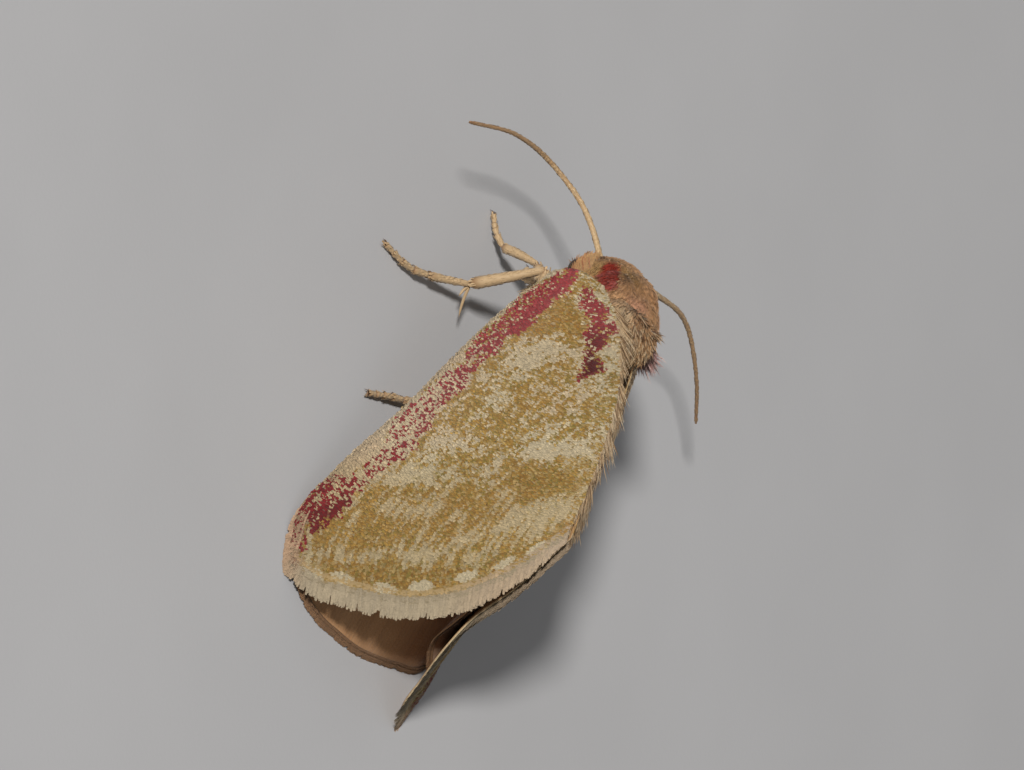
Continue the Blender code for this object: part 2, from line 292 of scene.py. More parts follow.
def set_floats(mesh, name, kind, values):
    """A named value at every point of a mesh."""
    made = mesh.attributes.new(name, kind, "POINT")
    field = {"FLOAT": "value", "FLOAT_VECTOR": "vector", "FLOAT_COLOR": "color"}[kind]
    made.data.foreach_set(field, np.ascontiguousarray(values, np.float32).ravel())


def settle(mesh):
    """From the moth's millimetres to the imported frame's metres, and out of the floor."""
    mesh.transform(Matrix.Translation(ORIGIN) @ Matrix.Scale(MM, 4))
    spots = np.empty(len(mesh.vertices) * 3, np.float32)
    mesh.vertices.foreach_get("co", spots)
    spots[2::3] = np.maximum(spots[2::3], LOWEST * MM)
    mesh.vertices.foreach_set("co", spots)
    mesh.update()


def show(name, mesh, material, slot, smooth=True):
    """A finished piece at the origin that rides on the moth."""
    settle(mesh)
    if material is not None:
        mesh.materials.clear()
        mesh.materials.append(material)
    if smooth:
        mesh.shade_smooth()
    obj = placed(name, mesh)
    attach(obj, "root")
    return obj


# Coats: one blade set on each root by Geometry Nodes, and made real


def coat_tree():
    """Sets a blade on every point, along its lie and leaning off its normal."""
    tree = bpy.data.node_groups.new("coat", "GeometryNodeTree")
    face = tree.interface
    face.new_socket(name="Geometry", in_out="INPUT", socket_type="NodeSocketGeometry")
    sockets = {"Blade": "Object", "Lean": "Float", "Lean spread": "Float", "Swing": "Float",
               "Size spread": "Float", "Seed": "Int", "Bake patch": "Float", "Material": "Material"}
    for name, kind in sockets.items():
        face.new_socket(name=name, in_out="INPUT", socket_type="NodeSocket" + kind)
    face.new_socket(name="Geometry", in_out="OUTPUT", socket_type="NodeSocketGeometry")
    nodes, links = tree.nodes, tree.links

    def made(kind, inputs, **settings):
        """A node with these settings, each input linked to an output or set to a value."""
        node = nodes.new(kind)
        for key, value in settings.items():
            setattr(node, key, value)
        for key, value in inputs.items():
            if hasattr(value, "is_output"):
                links.new(value, node.inputs[key])
            else:
                node.inputs[key].default_value = value
        return node

    given = made("NodeGroupInput", {}).outputs

    def named(name):
        node = made("GeometryNodeInputNamedAttribute", {"Name": name}, data_type="FLOAT_VECTOR")
        return node.outputs["Attribute"]

    def calc(operation, first, second):
        return made("ShaderNodeMath", {0: first, 1: second}, operation=operation).outputs[0]

    def about(middle, spread, salt):
        """A random value within the spread of the middle; the salt keeps it apart from the others."""
        low, high = calc("SUBTRACT", middle, spread), calc("ADD", middle, spread)
        inputs = {2: low, 3: high, "Seed": calc("ADD", given["Seed"], salt)}
        return made("FunctionNodeRandomValue", inputs, data_type="FLOAT").outputs[1]

    def turned(rotation, axis, angle):
        by = made("FunctionNodeAxisAngleToRotation", {"Axis": axis, "Angle": angle}).outputs["Rotation"]
        inputs = {"Rotation": rotation, "Rotate By": by}
        return made("FunctionNodeRotateRotation", inputs, rotation_space="LOCAL").outputs["Rotation"]

    def lined_up(inputs, **settings):
        return made("FunctionNodeAlignRotationToVector", inputs, **settings).outputs["Rotation"]

    up = lined_up({"Vector": named("up_way")}, axis="Z")
    lie = lined_up({"Rotation": up, "Vector": named("lie")}, axis="Y", pivot_axis="Z")
    swung = turned(lie, (0, 0, 1), about(0.0, given["Swing"], 11))
    lean = calc("ADD", given["Lean"], about(0.0, given["Lean spread"], 23))
    scale = {0: named("size"), "Scale": about(1.0, given["Size spread"], 37)}
    size = made("ShaderNodeVectorMath", scale, operation="SCALE").outputs[0]
    blade = made("GeometryNodeObjectInfo", {"Object": given["Blade"]}).outputs["Geometry"]
    standing = turned(swung, (1, 0, 0), lean)
    place = made("GeometryNodeInstanceOnPoints", {
        "Points": given["Geometry"], "Instance": blade, "Rotation": standing, "Scale": size})
    real = made("GeometryNodeRealizeInstances", {"Geometry": place.outputs["Instances"]}).outputs["Geometry"]
    terms = {0: named("blade_uv"), 1: given["Bake patch"], 2: named("skin_place")}
    patch = made("ShaderNodeVectorMath", terms, operation="MULTIPLY_ADD").outputs[0]
    kept = {"Name": "OFBake", "Geometry": real, "Value": patch}
    keep = made("GeometryNodeStoreNamedAttribute", kept, data_type="FLOAT2", domain="CORNER")
    painting = {"Geometry": keep.outputs["Geometry"], "Material": given["Material"]}
    paint = made("GeometryNodeSetMaterial", painting)
    made("NodeGroupOutput", {"Geometry": paint.outputs["Geometry"]})
    return tree


COAT = coat_tree()
BAKE_PATCH = 0.003


def blade_object(name, rows, curve, round_sides=False):
    """A unit blade along +Y: rows of (place along it, half width), and how far it arches.

    With round_sides it has three sides, as a bristle has, and otherwise it is flat.
    """
    points, faces = [], []
    for y, half in rows:
        z = curve * y * (1 - y) * 4
        if round_sides:
            corners = (math.pi / 2, 11 * math.pi / 6, 7 * math.pi / 6)
            ring = [(half * math.cos(a), y, z + half * math.sin(a)) for a in corners]
        else:
            ring = [(-half, y, z), (half, y, z)]
        points += ring
    wide = 3 if round_sides else 2
    for i in range(len(rows) - 1):
        for k in range(wide if round_sides else 1):
            a, b = i * wide + k, i * wide + (k + 1) % wide
            faces.append((a, b, b + wide, a + wide))
    if round_sides:
        faces.append((2, 1, 0))
    mesh = new_mesh(name, points, faces)
    reworked(mesh, lambda work: bmesh.ops.remove_doubles(work, verts=work.verts, dist=1e-5))
    spots = np.array([v.co for v in mesh.vertices])
    set_floats(mesh, "blade_uv", "FLOAT_VECTOR", spots * (1, 1, 0) - (0, 0.5, 0))
    return placed(name, mesh)


def grow_coat(name, roots, blade, material, slot, lean, lean_spread, swing, size_spread, seed):
    """Makes one coat from roots: place, up_way, lie, size, skin_place and marking, a row each."""
    mesh = new_mesh(name + "_roots", roots["place"], [])
    for key in ("up_way", "lie", "size"):
        set_floats(mesh, key, "FLOAT_VECTOR", roots[key])
    skin = np.concatenate([roots["skin_place"], np.zeros((len(roots["place"]), 1))], 1)
    set_floats(mesh, "skin_place", "FLOAT_VECTOR", skin)
    set_floats(mesh, "marking", "FLOAT_COLOR", roots["marking"])
    holder = placed(name + "_holder", mesh)
    modifier = holder.modifiers.new("coat", "NODES")
    modifier.node_group = COAT
    values = {"Blade": blade, "Lean": lean, "Lean spread": lean_spread, "Swing": swing,
              "Size spread": size_spread, "Seed": seed, "Bake patch": BAKE_PATCH, "Material": material}
    for item in COAT.interface.items_tree:
        if item.in_out == "INPUT" and item.name in values:
            modifier[item.identifier] = values[item.name]
    graph = bpy.context.evaluated_depsgraph_get()
    grown = bpy.data.meshes.new_from_object(
        holder.evaluated_get(graph), preserve_all_data_layers=True, depsgraph=graph)
    grown.name = name
    bpy.data.objects.remove(holder, do_unlink=True)
    return show(name, grown, None, slot, smooth=False)


def rough_grain(place, size, seed):
    """Smooth random value, 0 to 1 and evenly spread, over places in a plane; size is one cell's sides."""
    cell = np.asarray(place, float) / np.asarray(size, float) + 1000.0
    corner = np.floor(cell).astype(int)
    part = cell - corner
    part = part * part * (3 - 2 * part)
    table = np.random.default_rng(seed).random((256, 256))
    value = 0.0
    for i in (0, 1):
        for j in (0, 1):
            weight = np.abs(1 - i - part[..., 0]) * np.abs(1 - j - part[..., 1])
            value = value + weight * table[(corner[..., 0] + i) % 256, (corner[..., 1] + j) % 256]
    flat = value.ravel()
    order = np.empty(len(flat))
    order[np.argsort(flat)] = np.linspace(0, 1, len(flat))
    return order.reshape(value.shape)


# Forewing markings. Places on the wing are (share of its length from the root, share of its width
# from the costa). Points given as pixels are read off the photo, and on_wing() finds the
# shares that show there on the left wing. The other points are given as shares. An outline's
# number says how dense the coloured scales stand inside it.
WING_LENGTH = 10.4
WIDTH_PLACES = (0.0, 0.1, 0.3, 0.5, 0.7, 0.9, 1.0)
SEARCH_STEPS = (400, 300)  # along and across the wing
LEFT_SHEET = sheet_of(LEFT_WING, BELL_HOLD, forewing_rise)


def sheet_widths(sheet, places):
    """The sheet's width at these shares of its length, to a hundredth of a millimetre."""
    lines = sheet(*np.meshgrid(places, np.linspace(0, 1, SEARCH_STEPS[0]), indexing="ij"))
    widths = np.linalg.norm(np.diff(lines, axis=1), axis=-1).sum(1)
    return tuple(round(float(width), 2) for width in widths)


def shares_in_photo(sheet):
    """Shares all over a sheet, and the pixel of the photo where each one shows."""
    along, across = np.meshgrid(*(np.linspace(0, 1, steps) for steps in SEARCH_STEPS), indexing="ij")
    away = sheet(along, across) - np.array(VIEW_CENTRE)
    shown = np.stack([IMAGE_WIDTH / 2 + PIXELS_PER_MM * (away @ np.array(PHOTO_RIGHT)),
                      IMAGE_HEIGHT / 2 - PIXELS_PER_MM * (away @ np.array(PHOTO_UP))], -1)
    return np.stack([along, across], -1).reshape(-1, 2), shown.reshape(-1, 2)


LEFT_SHARES, LEFT_SHOWN = shares_in_photo(LEFT_SHEET)


def on_wing(*pixels):
    """The left wing's shares that show nearest to these pixels of the photo."""
    nearest = [np.argmin(np.sum((LEFT_SHOWN - pixel) ** 2, axis=1)) for pixel in pixels]
    return tuple(tuple(map(float, LEFT_SHARES[i])) for i in nearest)


WING_WIDTHS = (WIDTH_PLACES, sheet_widths(LEFT_SHEET, WIDTH_PLACES))
STREAK_INNER = ((0.0, 0.58),) + on_wing(
    (575, 284), (555, 302), (533, 323), (512, 336), (490, 360), (473, 380), (455, 395), (434, 417),
    (425, 434), (420, 443), (399, 456), (388, 469), (364, 486)) + ((0.86, 0.12),)
STREAK_OUTER = ((0.0, 0.25), (0.03, 0.13)) + on_wing(
    (540, 284), (520, 299), (501, 319), (477, 341), (468, 356), (447, 373), (425, 393), (403, 412),
    (384, 447), (366, 465), (345, 477)) + ((0.82, 0.01), (0.86, 0.0))
APEX_PATCH = on_wing((348, 488), (356, 491), (358, 499), (345, 508), (337, 515), (328, 526), (316, 528),
                     (314, 515), (310, 507), (324, 503), (340, 498))
APEX_TRAIL = on_wing((345, 477), (321, 491), (304, 504), (304, 520), (302, 534))
ROOT_STREAK = on_wing(
    (582, 284), (590, 289), (595, 296), (605, 308), (607, 318), (620, 327), (620, 330), (605, 334),
    (604, 344), (592, 347), (602, 362), (603, 368), (588, 373), (579, 378), (582, 367), (586, 353),
    (585, 335), (590, 321), (580, 301), (582, 289))
ROOT_WEDGE = on_wing((574, 289), (557, 300), (540, 319)) + ((0.26, 0.34),) + on_wing(
    (540, 335), (557, 330), (569, 335), (586, 328), (587, 318), (580, 307), (574, 295))
DORSAL_PATCH = ((0.665, 0.63), (0.665, 0.72), (0.7, 0.85), (0.75, 0.94), (0.84, 0.98), (0.82, 0.84),
                (0.77, 0.71), (0.71, 0.64))
MID_SHADE = ((0.4, 0.22), (0.4, 0.5), (0.52, 0.6), (0.68, 0.5), (0.7, 0.3), (0.6, 0.24), (0.5, 0.2))
OUTER_SHADE = ((0.76, 0.17), (0.72, 0.4), (0.76, 0.62), (0.84, 0.6), (0.86, 0.46), (0.88, 0.3), (0.9, 0.14),
               (0.85, 0.14))
OCHRE_SPOT = on_wing((609, 368), (619, 367), (619, 381), (609, 383), (602, 374))
PALE_ROOT = ((0.06, 0.86), (0.08, 1.0)) + on_wing(
    (620, 368), (609, 365), (604, 346), (619, 330), (609, 319)) + ((0.11, 0.93),)
PALE_AREAS = (PALE_ROOT,
              ((0.27, 0.42), (0.3, 0.36), (0.38, 0.34), (0.36, 0.5), (0.29, 0.6), (0.25, 0.6)),
              ((0.69, 0.15), (0.68, 0.36), (0.73, 0.38), (0.75, 0.2), (0.73, 0.14)),
              ((0.79, 0.2), (0.785, 0.44), (0.815, 0.42), (0.82, 0.22)),
              ((0.58, 0.24), (0.57, 0.4), (0.62, 0.42), (0.63, 0.26)),
              ((0.6, 0.62), (0.59, 0.94), (0.66, 0.95), (0.65, 0.64)),
              ((0.79, 0.7), (0.8, 0.92), (0.88, 0.98), (0.87, 0.76)),
              ((0.955, 0.66), (0.95, 0.8), (0.94, 1.0), (1.0, 1.0), (1.0, 0.68)))
ZIGZAG = ((0.985, 0.04),) + on_wing(
    (310, 558), (326, 542), (345, 550), (364, 551), (401, 544), (416, 555), (427, 546), (441, 551),
    (460, 534), (471, 539)) + ((0.86, 0.66), (0.84, 0.75), (0.845, 0.83), (0.862, 0.95))
LUNULES = ((0.982, 0.1), (0.974, 0.195), (0.976, 0.34), (0.965, 0.458), (0.957, 0.61), (0.955, 0.74),
           (0.957, 0.86))
TERMINAL_LINE = ((0.986, 0.05), (0.982, 0.3), (0.978, 0.55), (0.976, 0.9))
STREAK_DENSITY = ((0, 0.28, 0.36, 0.5, 0.66, 0.76, 0.86), (0.92, 0.82, 0.6, 0.5, 0.4, 0.52, 0.68))
# Outline, how dense ochre stands in it, and how soft its edge is in millimetres
OCHRE_AREAS = ((MID_SHADE, 0.74, 0.4), (OUTER_SHADE, 0.72, 0.35), (ROOT_WEDGE, 0.98, 0.12),
               (DORSAL_PATCH, 0.985, 0.14), (OCHRE_SPOT, 0.9, 0.1))
PALE_DENSITY, PALE_SOFT = 0.13, 0.16
LUNULE_HALF = np.array([0.12, 0.3])

CREAM = srgb(230, 214, 178)
WARM_CREAM = srgb(228, 202, 164)
OCHRE = srgb(194, 156, 78)
DARK_OCHRE = srgb(164, 120, 48)
OLIVE = srgb(150, 138, 66)
ORANGE = srgb(188, 132, 62)
CRIMSON = srgb(156, 34, 38)
ROSE = srgb(208, 88, 92)
DARK_CRIMSON = srgb(92, 20, 18)
FRINGE_CREAM = srgb(184, 168, 140)
PINK_BROWN = srgb(190, 140, 112)
LINE_OCHRE = srgb(198, 166, 104)
PALE_OCHRE = srgb(212, 184, 122)
OUTER_CREAM = srgb(216, 194, 148)


def flat_place(spots):
    """Places on the wing as millimetres on a flat sheet."""
    spots = np.asarray(spots, float)
    return np.stack([spots[..., 0] * WING_LENGTH, spots[..., 1] * np.interp(spots[..., 0], *WING_WIDTHS)], -1)


def reach_of(path, places, closed):
    """How far the places are from a path's nearest edge."""
    start = flat_place(path)
    end = np.roll(start, -1, 0)
    if not closed:
        start, end = start[:-1], end[:-1]
    edge = end - start
    best = np.full(len(places), 1e9)
    for a, e in zip(start, edge):
        rel = places - a
        share = np.clip((rel @ e) / max(e @ e, 1e-9), 0, 1)
        best = np.minimum(best, np.linalg.norm(rel - share[:, None] * e, axis=1))
    return best


def patch_share(outline, places, soft):
    """1 inside an outline and 0 outside it, over a soft edge."""
    corners = flat_place(outline)
    inside = np.zeros(len(places), bool)
    for a, b in zip(corners, np.roll(corners, -1, 0)):
        crosses = (a[1] > places[:, 1]) != (b[1] > places[:, 1])
        slope = (b[0] - a[0]) / (b[1] - a[1] if abs(b[1] - a[1]) > 1e-9 else 1e-9)
        inside ^= crosses & (places[:, 0] < a[0] + (places[:, 1] - a[1]) * slope)
    far = reach_of(outline, places, True)
    return ease(-soft, soft, np.where(inside, far, -far))


def line_share(path, places, half):
    return 1 - ease(0.3 * half, half, reach_of(path, places, False))


def wing_marks(along, across):
    """The marks at these places: how dense each colour's scales stand, and how dark or pink they are."""
    places = flat_place(np.stack([along, across], 1))
    wander = 0.07 * (rough_grain(places, (0.4, 0.22), 3) - 0.5)
    inner = np.interp(along, *zip(*STREAK_INNER)) + wander
    outer = np.interp(along, *zip(*STREAK_OUTER))
    over = (across - outer) / np.maximum(inner - outer, 1e-3)
    in_streak = ease(-0.12, 0.12, over) * (1 - ease(0.82, 1.08, over)) * (1 - ease(0.84, 0.88, along))
    density = np.interp(along, *STREAK_DENSITY)
    crimson = in_streak * density * (0.62 + 0.5 * np.clip(over, 0, 1))
    apex = patch_share(APEX_PATCH, places, 0.09)
    root = patch_share(ROOT_STREAK, places, 0.12)
    crimson = np.maximum.reduce([crimson, 0.78 * apex, 0.86 * root])
    crimson = np.maximum(crimson, 0.5 * line_share(APEX_TRAIL, places, 0.32))
    ochre = 0.5 + 0.1 * ease(0.3, 0.6, along)
    for outline, density, soft in OCHRE_AREAS:
        share = patch_share(outline, places, soft)
        ochre = ochre + (density - ochre) * share
    for outline in PALE_AREAS:
        ochre = ochre + (PALE_DENSITY - ochre) * patch_share(outline, places, PALE_SOFT)
    just_inside = bump_at(over, 1.1, 0.16) * (1 - ease(0.66, 0.74, along))
    ochre = ochre + (0.93 - ochre) * just_inside
    band = ease(0.0, 1.0, (along - 0.915) / 0.03) * ease(0.08, 0.14, across)
    ochre = ochre + (0.93 - ochre) * band
    pale_line = line_share(ZIGZAG, places, 0.2)
    ochre = ochre + (0.14 - ochre) * 0.9 * pale_line
    lunule = np.zeros(len(places))
    for spot in LUNULES:
        middle = flat_place(spot)
        gap = (places - middle) / LUNULE_HALF
        lunule = np.maximum(lunule, 1 - ease(0.9, 1.05, np.linalg.norm(gap, axis=1)))
    ochre = ochre * (1 - lunule)
    line = line_share(TERMINAL_LINE, places, 0.12) * (1 - lunule)
    line_at = np.interp(across, [t for _, t in TERMINAL_LINE], [s for s, _ in TERMINAL_LINE])
    beyond = ease(0.002, 0.008, along - line_at)
    ochre = ochre * (1 - beyond)
    costal_band = (1 - ease(-0.2, 0.1, over)) * (1 - ease(0.84, 0.9, along))
    ochre = ochre * (1 - 0.98 * np.clip(costal_band, 0, 1))
    streaky = np.clip(in_streak, 0, 1) * ease(0.3, 0.4, along)
    ochre = ochre * (1 - 0.9 * streaky)
    margin = (1 - ease(0.02, 0.07, across)) * ease(0.82, 0.9, along)
    pink = np.clip(0.9 * margin + 0.25 * costal_band, 0, 1)
    ochre = ochre * (1 - margin)
    dark = np.clip(0.45 * apex + root * (0.3 + 0.7 * ease(0.17, 0.34, along)), 0, 1)
    brown = [band, patch_share(DORSAL_PATCH, places, 0.14), patch_share(OCHRE_SPOT, places, 0.1)]
    return {"crimson": np.clip(crimson, 0, 1), "ochre": np.clip(ochre, 0, 1), "dark": dark, "pink": pink,
            "brown": np.maximum.reduce(brown), "root": patch_share(ROOT_WEDGE, places, 0.3), "line": line,
            "lunule": lunule, "beyond": beyond, "places": places}


def tinted(count, colour):
    """The same colour for this many places."""
    return np.tile(np.array(colour), (count, 1))


def columns(count, *parts):
    """Rows of these parts, each a number or one value a row."""
    return np.stack([np.broadcast_to(part, count) for part in parts], 1)


def inset(share):
    """A share of the bake picture, kept off its rim."""
    return 0.01 + 0.98 * share


def ranked(values):
    """Each value's rank, from 0 to 1."""
    return np.argsort(np.argsort(values)) / len(values)


def blend_to(colour, other, share):
    return colour + (np.array(other) - colour) * share[:, None]


def wing_colours(along, across, seed):
    """A colour for each scale: cream, or ochre or crimson where the marks and the grain let it stand."""
    marks = wing_marks(along, across)
    places = marks["places"]
    rng = np.random.default_rng(seed)
    lone = rng.random(len(along))
    streaky = ease(0.55, 0.9, along)
    fine = rough_grain(places, (0.11, 0.085), seed + 1)
    drawn = rough_grain(places, (0.4, 0.07), seed + 2)
    clump = rough_grain(places, (0.34, 0.3), seed + 3)
    drawn = fine * (1 - streaky) + drawn * streaky
    grain = ranked((0.4 + 0.14 * streaky) * drawn + 0.18 * clump + (0.42 - 0.14 * streaky) * lone)
    dashes = ranked(0.36 * rough_grain(places, (0.26, 0.055), seed + 4) + 0.64 * rng.random(len(along)))
    soft = 0.08 + 0.12 * ease(0.55, 0.75, along)
    is_ochre = ease(-soft, soft, marks["ochre"] - grain) * ease(0.03, 0.1, marks["ochre"])
    is_crimson = ease(-0.04, 0.04, marks["crimson"] - dashes) * ease(0.02, 0.08, marks["crimson"])
    wide = rough_grain(places, (1.2, 0.9), seed + 5)
    colour = blend_to(tinted(len(along), CREAM), WARM_CREAM, 0.7 * wide)
    colour = blend_to(colour, OUTER_CREAM, 0.75 * ease(0.6, 0.8, along) * (1 - marks["lunule"]))
    colour = blend_to(colour, PINK_BROWN, marks["pink"] * (0.35 + 0.65 * rng.random(len(along))))
    depth = 0.2 + 0.25 * marks["brown"] + 0.9 * (rng.random(len(along)) - 0.5) + 0.3 * marks["root"]
    tone = blend_to(np.array(OCHRE), DARK_OCHRE, depth)
    tone = blend_to(tone, OLIVE, 0.7 * (rng.random(len(along)) > 0.76))
    tone = blend_to(tone, PALE_OCHRE, 0.75 * (rng.random(len(along)) > 0.74))
    tone = blend_to(tone, ORANGE, 0.22 * wide + 0.3 * marks["root"] * rng.random(len(along)))
    colour = colour + (tone - colour) * is_ochre[:, None]
    rosy = 0.55 * rng.random(len(along)) * (1 - 0.6 * ease(0.3, 0.6, along))
    red = blend_to(np.array(CRIMSON), ROSE, rosy + 0.2 * (1 - ease(0.1, 0.4, along)))
    red = blend_to(red, DARK_CRIMSON, np.clip(marks["dark"] + 0.25 * (wide - 0.6), 0, 1))
    colour = colour + (red - colour) * is_crimson[:, None]
    colour = blend_to(colour, LINE_OCHRE, 0.8 * marks["line"])
    colour = blend_to(colour, CREAM, 0.9 * marks["lunule"])
    colour = blend_to(colour, FRINGE_CREAM, 0.8 * marks["beyond"])
    even = 0.7 * np.maximum(marks["lunule"], marks["beyond"])
    return colour * (1 + (0.32 * rng.random(len(along)) - 0.18) * (1 - even))[:, None]


def mirrored(vectors, side):
    """The same on the moth's left (1) or right (-1)."""
    return np.asarray(vectors, float) * np.array([side, 1.0, 1.0])


def scattered(along_step, across_step, width_at, rng, along_range=(0.0, 1.0)):
    """Rows of places over a sheet, jittered, with about the same gaps everywhere."""
    shares_s, shares_t = [], []
    rows = int((along_range[1] - along_range[0]) * WING_LENGTH / along_step)
    for i in range(rows):
        s = along_range[0] + (along_range[1] - along_range[0]) * (i + 0.5) / rows
        count = max(4, int(width_at(s) / across_step))
        t = (np.arange(count) + 0.5 * (i % 2) + rng.uniform(-0.35, 0.35, count)) / count
        shares_s.append(s + rng.uniform(-0.45, 0.45, count) * along_step / WING_LENGTH)
        shares_t.append(t)
    return np.clip(np.concatenate(shares_s), 0, 1), np.clip(np.concatenate(shares_t), 0.002, 0.998)


def painted(colour):
    return np.concatenate([colour, np.ones((len(colour), 1))], 1)


def coat_roots(place, up_way, lie, size, skin_place, colour):
    return {"place": place, "up_way": up_way, "lie": lie, "size": size, "skin_place": skin_place,
            "marking": painted(colour)}


def joined_roots(rows, side):
    """Roots on the moth's left or right, from rows of what coat_roots takes, drawn as on the left."""
    place, up_way, lie, size, skin_place, colour = (np.concatenate(part) for part in zip(*rows))
    place, up_way, lie = mirrored(place, side), mirrored(up_way, side), mirrored(lie, side)
    return coat_roots(place, up_way, lie, size, skin_place, colour)


SKIN_SINK = 0.01  # a wing's skin lies this far under the roots of its scales


def sheet_shell(name, sheet, rows, across, thickness, side):
    """A closed thin shell of a sheet, its upper face marked 1 and its lower face 0."""
    s, t = np.meshgrid(np.linspace(0, 1, rows), np.linspace(0, 1, across), indexing="ij")
    top = sheet(s, t)
    normal, _, _ = sheet_ways(sheet, s, t)
    upper, lower = top - SKIN_SINK * normal, top - (SKIN_SINK + thickness) * normal
    points = np.concatenate([upper.reshape(-1, 3), lower.reshape(-1, 3)])
    n = rows * across
    faces = []
    for i in range(rows - 1):
        for j in range(across - 1):
            a, d = i * across + j, (i + 1) * across + j
            faces += [(a, a + 1, d + 1, d), (n + d, n + d + 1, n + a + 1, n + a)]
    rim = [i * across for i in range(rows)] + [(rows - 1) * across + j for j in range(1, across)]
    rim += [i * across + across - 1 for i in range(rows - 2, -1, -1)]
    rim += range(across - 2, 0, -1)
    for a, b in zip(rim, rim[1:] + rim[:1]):
        faces.append((a, b, n + b, n + a))
    mesh = facing_out(new_mesh(name, mirrored(points, side), faces))
    spots = np.stack([np.tile(s.ravel(), 2), np.tile(t.ravel(), 2)], 1)
    set_floats(mesh, "wing_place", "FLOAT_VECTOR", np.concatenate([spots, np.zeros((2 * n, 1))], 1))
    set_floats(mesh, "upper", "FLOAT", np.repeat([1.0, 0.0], n))
    return mesh, spots


# Finishes


def scale_finish(name, roughness=0.62, sheen=0.25, shade_from=0.05, rib=1.0):
    """Powdery scales: each its own colour, ribbed along, with painted shade towards its root where the blades
    over it would shade it, and a touch lighter at its tip.
    """
    finish = Finish(name, roughness, specular=0.25, sheen=sheen)
    marking = finish.attribute("marking", "Color")
    blade = finish.attribute("blade_uv", "Vector")
    parts = finish.add("ShaderNodeSeparateXYZ")
    finish.join(blade, parts.inputs[0])
    # painted shade: each blade grows darker towards its root, where the blades over it would shade it
    root_shade = finish.span(parts.outputs[1], shade_from, 0.42, 0.6, 1.06)
    grain = finish.noise(finish.place_mm(), 24.0, 3.0)
    shade = finish.math("MULTIPLY", root_shade, finish.span(grain, 0.3, 0.7, 0.86, 1.1))
    ribs = finish.math("MULTIPLY", finish.math("SINE", finish.math("MULTIPLY", parts.outputs[0], 34.0)), rib)
    finish.bump(finish.math("ADD", ribs, finish.noise(finish.place_mm(), 60.0, 2.0)), 0.004)
    return finish.colour(finish.mix(1.0, marking, shade, "MULTIPLY"))


def wing_skin_finish(name):
    """Marked above as the scales over it are; satin brown beneath, with its own fine scaling."""
    finish = Finish(name, 0.6, specular=0.15)
    marking = finish.attribute("marking", "Color")
    place = finish.attribute("wing_place", "Vector")
    rows = finish.noise(finish.stretch(place, (120.0, 90.0, 1.0)), 1.0, 2.0)
    cloud = finish.noise(finish.stretch(place, (6.0, 5.0, 1.0)), 1.0, 3.0)
    under = finish.mix(finish.span(cloud, 0.35, 0.65), srgb(140, 104, 70), srgb(178, 142, 100))
    under = finish.mix(finish.span(rows, 0.35, 0.65, 0.0, 0.45), under, srgb(110, 78, 50))
    finish.bump(finish.math("ADD", rows, finish.math("MULTIPLY", cloud, 0.6)), 0.02, 0.8)
    return finish.colour(finish.mix(finish.attribute("upper"), under, marking))


SCALES = scale_finish("wing scales", 0.6, 0.1)
FRINGE = scale_finish("wing fringe", 0.7, 0.15, -0.9)
HAIR = scale_finish("body hair", 0.5, 0.1, -0.7)
WING_SKIN = wing_skin_finish("wing membrane")

SCALE_BLADE = blade_object("scale_blade", ((0, 0.24), (0.7, 0.5), (1.0, 0.34)), 0.05)
STRAP_BLADE = blade_object("strap_blade", ((0, 0.3), (0.4, 0.42), (0.8, 0.5), (1.0, 0.3)), 0.03)
HAIR_BLADE = blade_object("hair_blade", ((0, 0.5), (0.35, 0.46), (0.7, 0.3), (1.0, 0.0)), 0.16, True)
LOCK_BLADE = blade_object("lock_blade", ((0, 0.3), (0.35, 0.5), (0.75, 0.36), (1.0, 0.06)), 0.12)


def wing_width(s):
    return float(np.interp(s, *WING_WIDTHS))


def forewing(sheet, side, label, seed):
    mesh, spots = sheet_shell("forewing_skin_" + label, sheet, 130, 80, MEMBRANE, side)
    marks = wing_marks(spots[:, 0], spots[:, 1])
    tint = blend_to(tinted(len(spots), CREAM), OCHRE, marks["ochre"])
    tint = blend_to(tint, CRIMSON, marks["crimson"])
    set_floats(mesh, "marking", "FLOAT_COLOR", painted(tint))
    skin = show("forewing_skin_" + label, mesh, WING_SKIN, "forewing_scales")
    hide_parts("forewing_" + label)

    rng = np.random.default_rng(seed)
    s, t = scattered(0.05, 0.037, wing_width, rng)
    normal, rearward, _ = sheet_ways(sheet, s, t)
    width = 0.064 * (1 - 0.35 * (1 - ease(0.0, 0.06, t)))
    size = columns(len(s), width, 0.145 - 0.02 * ease(0.0, 0.2, 1 - s), 1.0)
    skin_place = np.stack([inset(s), inset(t)], 1)
    row = (sheet(s, t), normal, rearward, size, skin_place, wing_colours(s, t, seed + 20))
    grow_coat("forewing_scales_" + label, joined_roots([row], side), SCALE_BLADE, SCALES, "forewing_scales",
              0.19, 0.09, 0.2, 0.16, seed)


FRINGE_WIDTH = 0.06
CLEFT_GAP = 0.42  # between the fringe's notches


